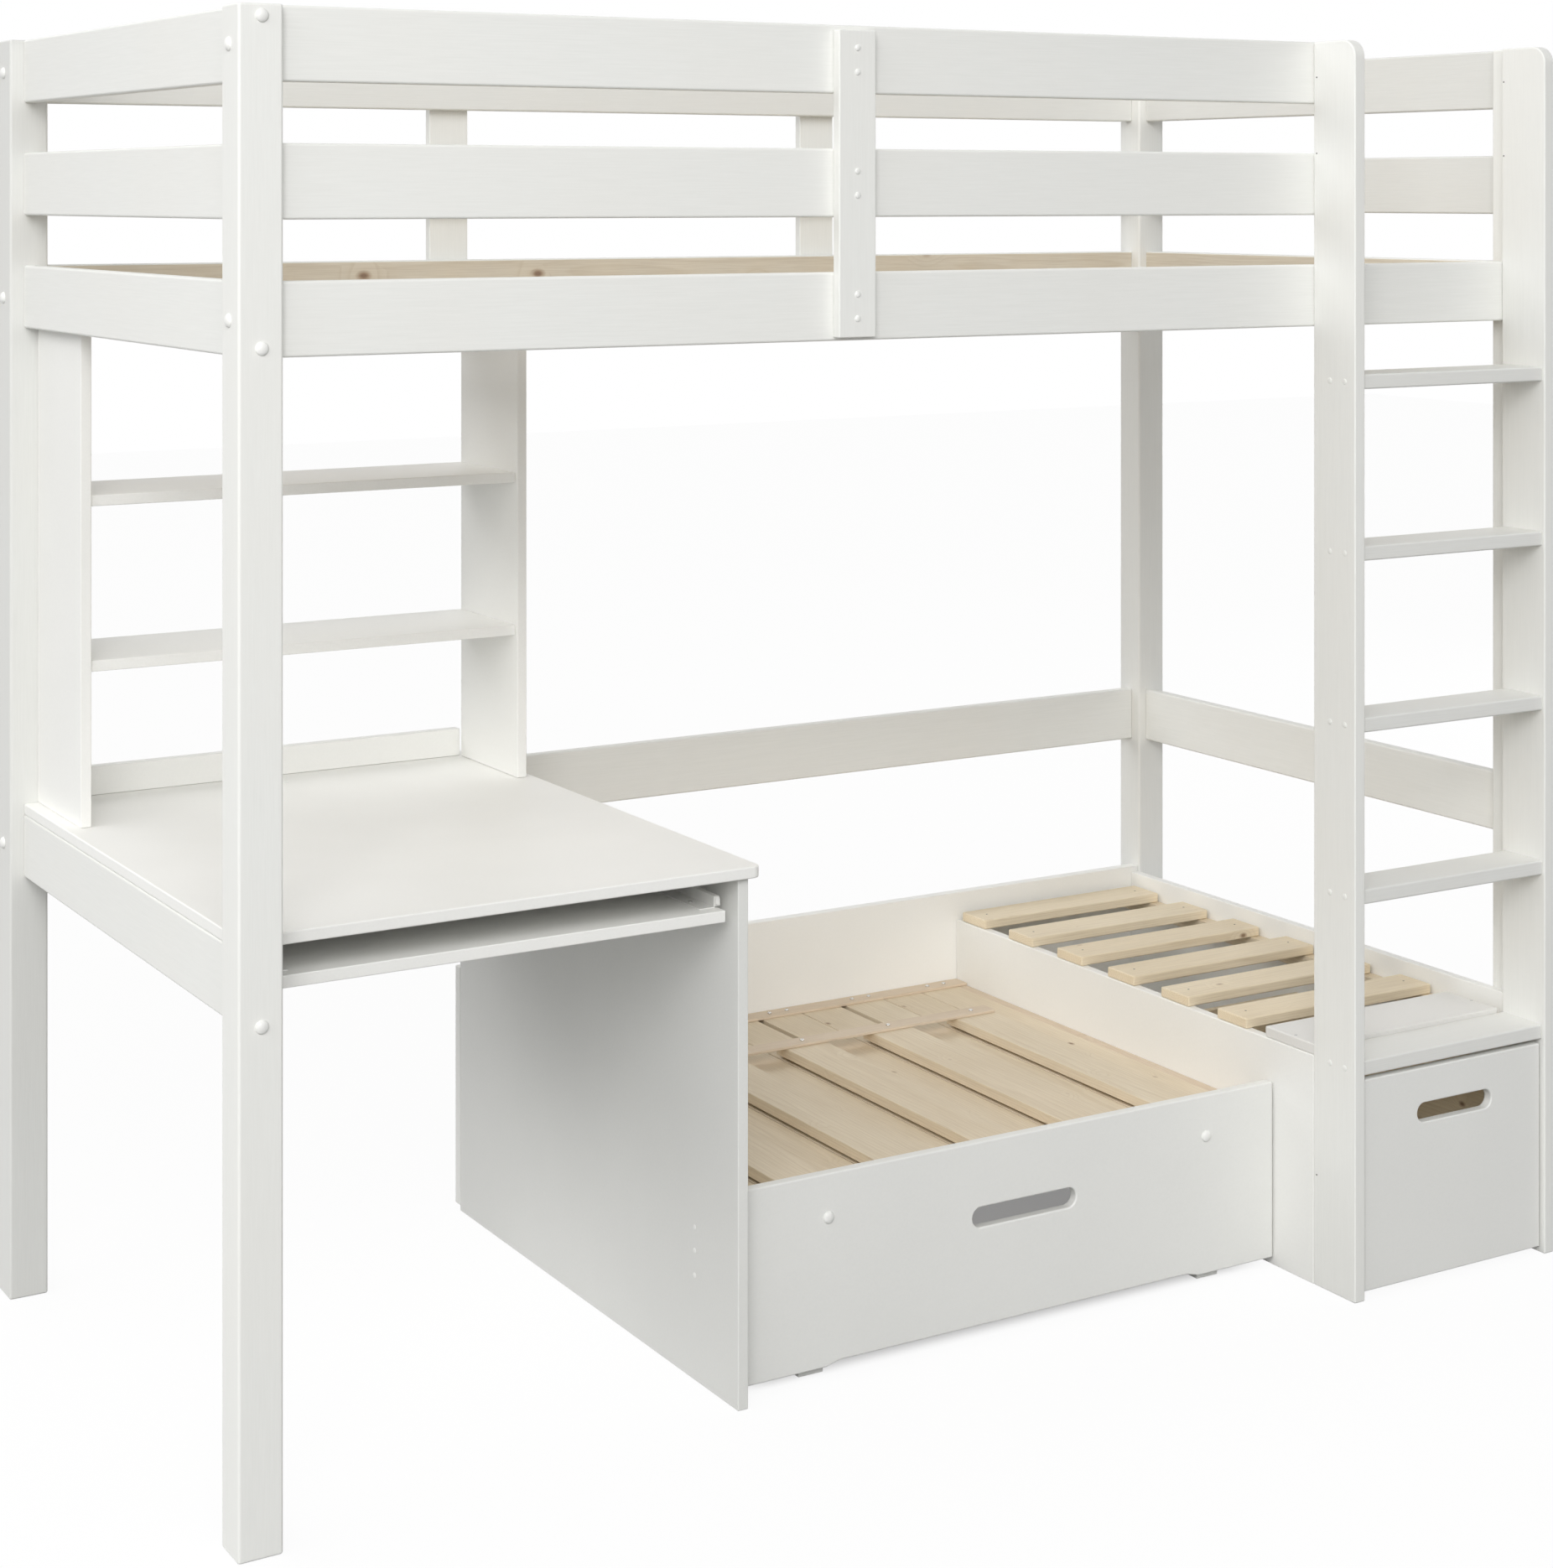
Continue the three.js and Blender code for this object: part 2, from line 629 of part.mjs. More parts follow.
// Slats of the bench, screwed to a ledger at the right and lying on the left board
function addBenchSlats() {
  const bottom = benchLeftHeight + touchGap;
  const z = [bottom, bottom + benchSlatThickness];
  const x = [benchLeft[0] + benchSlatInset, benchRight[0] - benchSlatEndGap];
  const frontSlatY = [benchFront, benchFront + benchFrontSlatWidth];
  const frontSlatX = [x[0], benchRight[0] - benchFrontSlatEndGap];
  add('bench_front_slat', 'paint', board('x', frontSlatX, frontSlatY, z));

  const ledgerX = [benchRight[0] - touchGap - benchLedgerWidth, benchRight[0] - touchGap];
  const ledgerTop = bottom - touchGap;
  const ledgerZ = [ledgerTop - benchLedgerHeight, ledgerTop];
  const pieces = [board('y', ledgerX, [benchFront, benchRear], ledgerZ, 0)];
  const pitch = benchSlatWidth + benchSlatGap;
  const rear = benchRear - benchSlatRearGap;
  const count = Math.floor((rear - frontSlatY[1]) / pitch);
  const screwRadius = benchScrewDiameter / 2;
  const screwX = (ledgerX[0] + x[1]) / 2;
  for (let index = 0; index <= count; index += 1) {
    const back = rear - index * pitch;
    const slatY = [back - benchSlatWidth, back];
    if (slatY[0] < frontSlatY[1] + touchGap) break;
    pieces.push(board('x', x, slatY, z, 0));
    const screwY = (slatY[0] + slatY[1]) / 2;
    const screw = board(
      'z',
      [screwX - screwRadius, screwX + screwRadius],
      [screwY - screwRadius, screwY + screwRadius],
      [bottom - benchLedgerHeight / 2, bottom + benchSlatThickness / 2],
      0,
    );
    pieces.push(screw);
  }
  add('bench_slats', 'pine', joined(pieces));
}

// The drawer runs between the stiles, on the runners at the foot of the bench's boards
function addDrawer() {
  const stepFront = stileY[0] + stepInset;
  const frontX = [leftStile[1] + drawerFrontGap, rightStile[0] - drawerFrontGap];
  const frontY = [stepFront + drawerFrontSetback, stepFront + drawerFrontSetback + panelThickness];
  const frontTop = stepTop - rungThickness - drawerTopGap;
  const outline = roundedOutline(frontX, [drawerFloorGap, frontTop], panelRadius);
  const handleX = (frontX[0] + frontX[1]) / 2 + drawerHandleOffset;
  const handleZ = frontTop - drawerHandleDrop;
  outline.holes.push(slotHole(handleX, handleZ, drawerHandleLength, drawerHandleHeight));
  add('drawer_front', 'paint', extrudeAlong('y', outline, frontY, 6));

  const left = leftStile[1] + drawerSideGap;
  const right = rightStile[0] - drawerSideGap;
  const rear = stileY[0] + drawerDepth;
  const y = [frontY[1] + touchGap, rear];
  const z = [drawerRunnerHeight + touchGap, drawerRunnerHeight + touchGap + drawerSideHeight];
  const leftX = [left, left + drawerSideThickness];
  const rightX = [right - drawerSideThickness, right];
  add('drawer_side_left', 'pine', board('y', leftX, y, z));
  add('drawer_side_right', 'pine', board('y', rightX, y, z));
  const insideX = [leftX[1] + touchGap, rightX[0] - touchGap];
  const backY = [rear - drawerSideThickness, rear];
  const bottomZ = [z[0] + drawerBottomRise, z[0] + drawerBottomRise + drawerBottomThickness];
  const backZ = [bottomZ[1] + touchGap, z[1]];
  add('drawer_back', 'pine', board('x', insideX, backY, backZ));
  add('drawer_bottom', 'pine', board('x', insideX, y, bottomZ, 0));
}

addPosts();
addRails();
addBattens();
addUpperBase();
addLadder();
addDesk();
addShelves();
addKeyboardTray();
addLoungeBack();
addFixedBoards();
addPullOutFront();
addPullOutBoards();
addBenchBoards();
addBenchSlats();
addDrawer();

export default bed;
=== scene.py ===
"""Looks of the loft bed: painted posts, rails and boards, bare pine slats and boards, cap nuts,
screws, plugs and the keyboard tray's metal slides, with a plain studio round them.
Everything is in metres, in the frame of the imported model."""
import math

import bpy
import numpy as np
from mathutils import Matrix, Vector
from mathutils.geometry import tessellate_polygon


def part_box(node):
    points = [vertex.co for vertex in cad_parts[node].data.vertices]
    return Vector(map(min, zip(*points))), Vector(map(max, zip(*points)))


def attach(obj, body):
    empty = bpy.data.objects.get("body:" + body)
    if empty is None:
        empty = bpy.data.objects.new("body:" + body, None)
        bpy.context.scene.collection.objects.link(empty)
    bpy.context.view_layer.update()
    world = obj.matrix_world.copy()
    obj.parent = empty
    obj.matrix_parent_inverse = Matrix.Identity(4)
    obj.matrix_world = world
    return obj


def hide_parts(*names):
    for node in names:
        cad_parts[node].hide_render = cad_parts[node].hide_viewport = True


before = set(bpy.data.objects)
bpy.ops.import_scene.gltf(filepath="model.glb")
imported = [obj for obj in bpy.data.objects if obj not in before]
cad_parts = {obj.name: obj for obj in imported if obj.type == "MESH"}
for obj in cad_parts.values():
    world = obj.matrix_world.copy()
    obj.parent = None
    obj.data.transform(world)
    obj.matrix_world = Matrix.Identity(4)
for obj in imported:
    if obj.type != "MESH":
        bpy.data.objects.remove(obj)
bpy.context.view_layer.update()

MM = 0.001
AXES = {"x": 0, "y": 1, "z": 2}

# Points along each quarter circle of a rounded edge
ARC_STEPS = 5

# Places each board's pith line, from which its year rings are measured
draw = np.random.default_rng(11)
PITH_REACH = (0.03, 0.11)

# Studio: the sky ring's stops are (height or side, level), a lamp is (place, power in watts)
RING_LEVEL = 3.55
RING_BY_HEIGHT = ((0.0, 0.06), (0.30, 0.20), (0.42, 1.0), (0.66, 1.0), (0.82, 0.06))
RING_BY_SIDE = ((-0.75, 0.80), (-0.2, 0.72), (0.2, 0.56), (0.65, 0.06))
LAMPS = {
    "key": ((-2.8, -4.4, 3.2), 110.0),
    "side": ((-5.4, -0.8, 2.6), 24.0),
    "right": ((6.2, 1.6, 1.4), 70.0),
}
LAMP_SIZE = 2.6
LAMP_AIM = (0, 0, 0.9)

# Floor: its tones for light, and its chalk and its shares of plain white for the camera
FLOOR_DULL, FLOOR_PALE = (0.29, 0.29, 0.285), (0.31, 0.31, 0.305)
# A paler floor under the bench for light that bounces: painted light thrown into the bench
FLOOR_PAINTED_LIGHT_UNDER_BENCH = (0.92, 0.915, 0.905)
FLOOR_CHALK = (0.97, 0.97, 0.965)
FLOOR_PLAIN_SHARE = 0.93
FLOOR_LOUNGE_SHARE = 0.68
FLOOR_REACH = 14.0

# Where the front left post's outer corner stands in the frame
POST_CORNER = np.array(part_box("post_front_left")[0])


def from_corner(x, y, z):
    """Place measured in millimetres right, back and up from the front left post's outer corner."""
    return POST_CORNER + np.array([x, y, z]) * MM


def node_box(node):
    """Low and high corner of a CAD node's box."""
    low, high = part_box(node)
    return np.array(low), np.array(high)


# Shader nodes


class Shader:
    """The node tree of a material or of the world, with short calls for the nodes in use."""

    def __init__(self, owner):
        self.owner = owner
        owner.use_nodes = True
        self.tree = owner.node_tree

    def node(self, kind, *inputs, **settings):
        """A new node with its settings, and with values or links for its first inputs."""
        made = self.tree.nodes.new(kind)
        for key, value in settings.items():
            setattr(made, key, value)
        for slot, value in enumerate(inputs):
            self.feed(made.inputs[slot], value)
        return made

    def feed(self, socket, value):
        if isinstance(value, bpy.types.NodeSocket):
            self.tree.links.new(value, socket)
        elif value is not None:
            socket.default_value = value

    def math(self, operation, *inputs):
        return self.node("ShaderNodeMath", *inputs, operation=operation).outputs[0]

    def vector(self, operation, *inputs):
        made = self.node("ShaderNodeVectorMath", *inputs, operation=operation)
        return made.outputs["Value" if operation in ("DOT_PRODUCT", "LENGTH") else "Vector"]

    def scaled(self, vector, factor):
        made = self.node("ShaderNodeVectorMath", operation="SCALE")
        self.feed(made.inputs["Vector"], vector)
        self.feed(made.inputs["Scale"], factor)
        return made.outputs["Vector"]

    def attribute(self, name):
        return self.node("ShaderNodeAttribute", attribute_name=name).outputs["Vector"]

    def object_place(self):
        return self.node("ShaderNodeTexCoord").outputs["Object"]

    def noise(self, vector, scale, detail=2.0, roughness=0.5):
        made = self.node("ShaderNodeTexNoise")
        self.feed(made.inputs["Vector"], vector)
        made.inputs["Scale"].default_value = scale
        made.inputs["Detail"].default_value = detail
        made.inputs["Roughness"].default_value = roughness
        return made.outputs["Fac"]

    def ramp(self, factor, *stops):
        """Colour ramp with (position, colour or grey level) stops."""
        made = self.node("ShaderNodeValToRGB", factor)
        band = made.color_ramp
        while len(band.elements) < len(stops):
            band.elements.new(1.0)
        for element, (position, level) in zip(band.elements, stops):
            element.position = position
            colour = level if isinstance(level, tuple) else (level,) * 3
            element.color = (*colour, 1.0)
        return made.outputs["Color"]

    def mix(self, factor, first, second):
        """First and second tone mixed. A colour mix node has its colours at these slots."""
        first_slot, second_slot, result = 6, 7, 2
        made = self.node("ShaderNodeMix", data_type="RGBA")
        self.feed(made.inputs["Factor"], factor)
        self.feed(made.inputs[first_slot], opaque(first))
        self.feed(made.inputs[second_slot], opaque(second))
        return made.outputs[result]

    def bump(self, height, depth, strength=1.0, under=None):
        made = self.node("ShaderNodeBump")
        made.inputs["Strength"].default_value = strength
        made.inputs["Distance"].default_value = depth
        self.feed(made.inputs["Height"], height)
        if under is not None:
            self.feed(made.inputs["Normal"], under)
        return made.outputs["Normal"]

    def finish(self, colour, roughness, normal=None, metallic=0.0):
        """Feeds the material's surface and returns the material."""
        surface = self.tree.nodes["Principled BSDF"]
        surface.inputs["Metallic"].default_value = metallic
        self.feed(surface.inputs["Base Color"], colour)
        self.feed(surface.inputs["Roughness"], roughness)
        if normal is not None:
            self.feed(surface.inputs["Normal"], normal)
        return self.owner

    def seen_directly(self):
        """1 for rays from the camera and from glossy surfaces, and 0 for all others."""
        path = self.node("ShaderNodeLightPath")
        return self.math("MAXIMUM", path.outputs["Is Camera Ray"], path.outputs["Is Glossy Ray"])


def opaque(tone):
    """A tone given as red, green and blue gets its alpha. A socket is passed on."""
    return (*tone, 1.0) if isinstance(tone, tuple) else tone


def shaded(name):
    """Shader of a new material."""
    return Shader(bpy.data.materials.new(name))


def grain_places(shader):
    """Object place, place with the board's own offset, and that place's part along the grain.
    The offset moves each board to another part of the pattern, so no two look alike."""
    place = shader.object_place()
    pith = shader.attribute("pith")
    axis = shader.attribute("grain_axis")
    spread = 17.0
    own = shader.vector("ADD", place, shader.scaled(pith, spread))
    along = shader.vector("DOT_PRODUCT", own, axis)
    return place, pith, axis, own, along


def stretched(shader, own, axis, along, share):
    """The place with its part along the grain shortened to a share, which draws patterns out."""
    return shader.vector("ADD", own, shader.scaled(axis, shader.math("MULTIPLY", along, share - 1.0)))


def painted_wood(name, share=1.0):
    """Satin white paint rolled over planed pine: the fibres show through as faint streaks.
    The share makes a darker or lighter copy of the same paint: painted shade or painted light on single
    pieces, in place of the light that falls on them."""
    s = shaded(name)
    _, _, axis, own, along = grain_places(s)
    fibres = s.noise(stretched(s, own, axis, along, 0.03), 520.0, 3.0, 0.6)
    figure = s.noise(stretched(s, own, axis, along, 0.06), 95.0, 3.0, 0.55)
    cloud = s.noise(own, 5.0, 3.0, 0.5)
    streak = s.ramp(fibres, (0.32, 0.0), (0.68, 1.0))
    thin, full, warm = (tuple(level * share for level in tone) for tone in (
        (0.848, 0.852, 0.822), (0.882, 0.885, 0.856), (0.87, 0.855, 0.81)))
    tone = s.mix(streak, thin, full)
    tone = s.mix(s.ramp(cloud, (0.35, 0.0), (0.65, 1.0)), tone, s.mix(0.25, tone, warm))
    rough = s.ramp(fibres, (0.3, 0.42), (0.7, 0.52))
    normal = s.bump(fibres, 0.00012, 0.55)
    normal = s.bump(figure, 0.00035, 0.5, normal)
    return s.finish(tone, rough, normal)


def painted_board(name, dull, bright):
    """Sprayed white paint on smooth board, with a very fine orange peel."""
    s = shaded(name)
    place = s.object_place()
    peel = s.noise(place, 420.0, 3.0, 0.6)
    swell = s.noise(place, 38.0, 2.0, 0.5)
    cloud = s.noise(place, 3.5, 3.0, 0.5)
    flecks = s.noise(place, 300.0, 2.0, 0.7)
    shade = s.math("ADD", s.math("MULTIPLY", cloud, 0.6), s.math("MULTIPLY", flecks, 0.4))
    tone = s.mix(s.ramp(shade, (0.38, 0.0), (0.62, 1.0)), dull, bright)
    rough = s.ramp(peel, (0.3, 0.40), (0.7, 0.50))
    normal = s.bump(peel, 0.00008, 0.5)
    normal = s.bump(swell, 0.0003, 0.35, normal)
    return s.finish(tone, rough, normal)


def bare_pine(name, pale, deep, ring_pitch=0.0042, knot_scale=17.0, through=False):
    """Planed pine. Year rings are the distance from the board's own pith line, bent by slow
    noise and pushed outwards round knots; late wood is a thin darker line in each ring. Each
    cell of a cell pattern has its knot at its own point, apart from the share without a knot.
    Knots that go through run straight along Y."""
    s = shaded(name)
    place, pith, axis, own, along = grain_places(s)
    offset = s.vector("SUBTRACT", place, pith)
    level = s.vector("DOT_PRODUCT", offset, axis)
    across = s.vector("SUBTRACT", offset, s.scaled(axis, level))
    radius = s.vector("LENGTH", across)
    sway = s.noise(stretched(s, own, axis, along, 0.18), 9.0, 2.0, 0.5)

    cells = s.node("ShaderNodeTexVoronoi")
    knot_stretch, without_knot = 0.62, 0.35
    knot_place = stretched(s, own, axis, along, knot_stretch)
    if through:
        parts = s.node("ShaderNodeSeparateXYZ", knot_place)
        knot_place = s.node("ShaderNodeCombineXYZ", parts.outputs[0], parts.outputs[2]).outputs[0]
        cells.voronoi_dimensions = "2D"
    s.feed(cells.inputs["Vector"], knot_place)
    cells.inputs["Scale"].default_value = knot_scale
    far = cells.outputs["Distance"]
    lot = s.node("ShaderNodeSeparateColor", cells.outputs["Color"]).outputs[0]
    chosen = s.math("GREATER_THAN", lot, without_knot)
    knot = s.math("MULTIPLY", s.ramp(far, (0.045, 1.0), (0.10, 0.0)), chosen)
    heart = s.math("MULTIPLY", s.ramp(far, (0.025, 1.0), (0.055, 0.0)), chosen)
    swirl = s.math("MULTIPLY", s.ramp(far, (0.0, 1.0), (0.3, 0.0)), chosen)

    sway_reach, push_reach = 0.03, 0.012
    bent = s.math("ADD", radius, s.math("MULTIPLY", sway, sway_reach))
    bent = s.math("ADD", bent, s.math("MULTIPLY", swirl, push_reach))
    ring = s.math("FRACT", s.math("DIVIDE", bent, ring_pitch))
    late = s.ramp(ring, (0.0, 0.15), (0.55, 0.35), (0.86, 1.0), (1.0, 0.15))
    fibres = s.noise(stretched(s, own, axis, along, 0.02), 700.0, 3.0, 0.6)
    blotch = s.noise(stretched(s, own, axis, along, 0.25), 14.0, 3.0, 0.55)

    board_tone = s.node("ShaderNodeTexWhiteNoise", pith).outputs["Value"]
    pinkish = tuple(level * share for level, share in zip(pale, (1.0, 0.975, 0.95)))
    fibre_tone, knot_tone, heart_tone = (0.30, 0.19, 0.10), (0.27, 0.14, 0.06), (0.13, 0.06, 0.03)
    late_share, knot_share, heart_share = 0.48, 0.62, 0.55
    base = s.mix(board_tone, pale, pinkish)
    base = s.mix(s.math("MULTIPLY", late, late_share), base, deep)
    base = s.mix(s.ramp(blotch, (0.4, 0.0), (0.75, 0.35)), base, deep)
    base = s.mix(s.ramp(fibres, (0.35, 0.16), (0.6, 0.0)), base, fibre_tone)
    base = s.mix(s.math("MULTIPLY", knot, knot_share), base, knot_tone)
    base = s.mix(s.math("MULTIPLY", heart, heart_share), base, heart_tone)
    rough = s.ramp(late, (0.0, 0.62), (1.0, 0.5))
    normal = s.bump(fibres, 0.00018, 0.6)
    normal = s.bump(late, 0.00012, 0.5, normal)
    return s.finish(base, rough, normal)


def plated_steel(name, tone=(0.62, 0.62, 0.63), rough=0.34):
    """Zinc-plated sheet: drawn along its length, with faint brighter and duller flecks."""
    s = shaded(name)
    place = s.object_place()
    drawn = s.node("ShaderNodeMapping", place)
    drawn.inputs["Scale"].default_value = (1.0, 0.05, 1.0)
    lines = s.noise(drawn.outputs[0], 900.0, 2.0, 0.6)
    fleck = s.noise(place, 260.0, 2.0, 0.5)
    dull = tuple(level * 0.82 for level in tone)
    colour = s.mix(s.ramp(fleck, (0.35, 0.0), (0.65, 1.0)), dull, tone)
    return s.finish(colour, s.ramp(lines, (0.3, rough - 0.06), (0.7, rough + 0.1)),
                    s.bump(lines, 0.00005, 0.5), metallic=1.0)


def moulded_plastic(name, tone, rough):
    """Moulded plastic, or a coat of it, with a fine eroded skin."""
    s = shaded(name)
    place = s.object_place()
    skin = s.noise(place, 1400.0, 2.0, 0.6)
    cloud = s.noise(place, 40.0, 2.0, 0.5)
    lighter = tuple(min(1.0, level * 1.06) for level in tone)
    colour = s.mix(s.ramp(cloud, (0.4, 0.0), (0.6, 1.0)), tone, lighter)
    return s.finish(colour, s.ramp(skin, (0.3, rough - 0.05), (0.7, rough + 0.05)),
                    s.bump(skin, 0.00006, 0.4))


FINISH = {
    "paint": painted_wood("white_painted_pine"),
    # dull and soft are darker copies of the pine paint, painted shade; clear is a lighter copy, painted
    # light
    "dull": painted_wood("white_painted_pine_painted_shade", 0.87),
    "soft": painted_wood("white_painted_pine_slight_painted_shade", 0.94),
    "clear": painted_wood("white_painted_pine_painted_light", 1.06),
    "panel": painted_board("white_painted_board", (0.900, 0.898, 0.868), (0.935, 0.932, 0.902)),
    # front, side and seat are darker copies of the board paint: painted shade on the pull-out and drawer
    # fronts, the desk's side panel and the white bench slat
    "front": painted_board("white_front_painted_shade", (0.832, 0.834, 0.806), (0.862, 0.863, 0.834)),
    "side": painted_board("white_side_painted_shade", (0.775, 0.777, 0.750), (0.805, 0.806, 0.778)),
    "seat": painted_board("white_slat_painted_shade", (0.765, 0.755, 0.728), (0.795, 0.785, 0.758)),
    "pine": bare_pine("bare_pine", (0.835, 0.742, 0.583), (0.665, 0.54, 0.37)),
    "slat": bare_pine("bare_pine_slat", (0.90, 0.80, 0.615), (0.72, 0.59, 0.40)),
    "rail": bare_pine("bare_pine_rail", (0.745, 0.70, 0.60), (0.60, 0.52, 0.40),
                      knot_scale=10.5, through=True),
    "strip": bare_pine("bare_pine_strip", (0.77, 0.66, 0.525), (0.61, 0.48, 0.34)),
    "steel": plated_steel("plated_steel"),
    "coated": moulded_plastic("white_coated_steel", (0.80, 0.795, 0.77), 0.38),
    "screw": plated_steel("bright_screw", (0.80, 0.80, 0.79), 0.22),
    "cap": moulded_plastic("white_cap", (0.85, 0.85, 0.825), 0.34),
    "tape": moulded_plastic("woven_tape", (0.72, 0.71, 0.67), 0.75),
    # hole: near-black, painted shade for the pilot holes in the stiles and the nail heads in the slats
    "hole": moulded_plastic("painted_hole_shade", (0.05, 0.045, 0.04), 0.9),
}
SLOT = {
    **dict.fromkeys(("paint", "dull", "soft", "clear", "panel", "front", "side", "seat", "cap"),
                    "white_paint"),
    **dict.fromkeys(("pine", "slat", "strip", "rail"), "natural_pine"),
    **dict.fromkeys(("steel", "screw"), "steel"),
}


# Surfaces


def add_piece(name, points, normals, faces, body, finish, node=None, grain="x", inner=None):
    """Puts a closed surface into the scene. Its pith line runs along the grain, at a drawn
    distance and angle from its centre. inner is (finish, axis, sign): faces that look straight
    along that axis get the other finish."""
    mesh = bpy.data.meshes.new(name)
    mesh.from_pydata(points.tolist(), [], faces)
    mesh.update()
    mesh.materials.append(FINISH[finish])
    mesh.polygons.foreach_set("use_smooth", np.ones(len(mesh.polygons), bool))
    count = len(points)
    centre = (points.min(0) + points.max(0)) / 2
    axis = np.eye(3)[AXES[grain]]
    turn = draw.uniform(0, 2 * math.pi)
    reach = draw.uniform(*PITH_REACH)
    u, v = np.eye(3)[(AXES[grain] + 1) % 3], np.eye(3)[(AXES[grain] + 2) % 3]
    pith = centre + reach * (math.cos(turn) * u + math.sin(turn) * v) + axis * draw.uniform(-1, 1)
    for key, value in (("grain_axis", axis), ("pith", pith)):
        layer = mesh.attributes.new(key, "FLOAT_VECTOR", "POINT")
        layer.data.foreach_set("vector", np.tile(value, count).astype(np.float32))
    if inner:
        other, direction, sign = inner
        mesh.materials.append(FINISH[other])
        facing = np.zeros(len(mesh.polygons) * 3, np.float32)
        mesh.polygons.foreach_get("normal", facing)
        straight = 0.9
        looks = facing.reshape(-1, 3)[:, AXES[direction]] * sign > straight
        mesh.polygons.foreach_set("material_index", looks.astype(np.int32))
    mesh.normals_split_custom_set_from_vertices(normals.tolist())
    made = bpy.data.objects.new(name, mesh)
    bpy.context.scene.collection.objects.link(made)
    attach(made, body)
    if node:
        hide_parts(node)
    return made


def ring_faces(rings, points, first=0):
    """Quads between neighbouring rings of a tube whose rings run anticlockwise."""
    row = np.arange(rings - 1)[:, None] * points + first
    here = np.arange(points)[None, :]
    after = (here + 1) % points
    quads = np.stack([row + here, row + after, row + points + after, row + points + here], axis=-1)
    return quads.reshape(-1, 4).tolist()


def end_rounding(low, high, edge):
    """Stations along a tube with rounded ends. At angle t from 90 degrees down to 0 and up
    again, the section is drawn in by edge (1 - cos t), its distance from the end plane is
    edge (1 - sin t), and the normal leans by t towards that end."""
    t = np.linspace(0, math.pi / 2, ARC_STEPS)
    inset = edge * (1 - np.cos(t))
    back = edge * (1 - np.sin(t))
    stations = np.concatenate([(low + back)[::-1], high - back])
    insets = np.concatenate([inset[::-1], inset])
    lean = np.concatenate([-np.sin(t)[::-1], np.sin(t)])
    upright = np.concatenate([np.cos(t)[::-1], np.cos(t)])
    return stations, insets, lean, upright


def into_space(flat, level, axis):
    """Points given across an axis, as (second, third) coordinates after it, placed in space."""
    a = AXES[axis]
    space = np.empty(flat.shape[:-1] + (3,))
    space[..., a] = level
    space[..., (a + 1) % 3] = flat[..., 0]
    space[..., (a + 2) % 3] = flat[..., 1]
    return space


def board(name, low, high, grain, body, finish, node=None, edge=2 * MM, inner=None, ends=None):
    """A board with all its edges rounded: a rounded rectangle carried along the grain.
    Each corner of the section is centre + (edge - inset)(cos t, sin t), and the section's
    inset grows along a quarter circle at both ends."""
    low, high = np.asarray(low, float), np.asarray(high, float)
    a = AXES[grain]
    across = [(a + 1) % 3, (a + 2) % 3]
    half = (high - low)[across] / 2
    middle = (high + low)[across] / 2
    most_of_half, hair = 0.98, 1.0001
    edge = min(edge, half.min() * most_of_half)
    end = min(ends or edge, edge)
    stations, insets, lean, upright = end_rounding(low[a], high[a], end)
    t = (np.arange(4)[:, None] + np.linspace(0, 1, ARC_STEPS)[None, :]).ravel() * math.pi / 2
    out = np.stack([np.cos(t), np.sin(t)], axis=1)
    corner = np.array([(1, 1), (-1, 1), (-1, -1), (1, -1)]).repeat(ARC_STEPS, axis=0)
    section = corner * (half - edge) + edge * hair * out
    flat = middle + section[None] - insets[:, None, None] * out[None]
    points = into_space(flat, stations[:, None], grain).reshape(-1, 3)
    normals = into_space(upright[:, None, None] * out[None], lean[:, None], grain).reshape(-1, 3)
    rings, count = len(stations), len(t)
    faces = ring_faces(rings, count)
    faces.append(list(range(count))[::-1])
    faces.append(list(range((rings - 1) * count, rings * count)))
    return add_piece(name, points, normals, faces, body, finish, node, grain, inner)


def rounded_outline(corners, radii, steps=8):
    """Outline with its corners rounded by arcs, and its outward normals. At a corner that
    turns by angle q, the arc's centre lies radius inside (or outside, where the outline turns
    the other way) of the point radius tan(q / 2) before it."""
    corners = np.asarray(corners, float)
    radii = np.asarray(radii, float)
    ahead = np.roll(corners, -1, axis=0) - corners
    ahead /= np.linalg.norm(ahead, axis=1, keepdims=True)
    behind = np.roll(ahead, 1, axis=0)
    turn = np.arctan2(behind[:, 0] * ahead[:, 1] - behind[:, 1] * ahead[:, 0],
                      (behind * ahead).sum(1))
    side = np.sign(turn)
    start = corners - behind * (radii * np.tan(np.abs(turn) / 2))[:, None]
    out = np.stack([behind[:, 1], -behind[:, 0]], axis=1)
    centre = start - (side * radii)[:, None] * out
    t = turn[:, None] * np.linspace(0, 1, steps)[None, :]
    normal = np.stack([out[:, None, 0] * np.cos(t) - out[:, None, 1] * np.sin(t),
                       out[:, None, 0] * np.sin(t) + out[:, None, 1] * np.cos(t)], axis=-1)
    points = centre[:, None] + (side * radii)[:, None, None] * normal
    return points.reshape(-1, 2), normal.reshape(-1, 2)


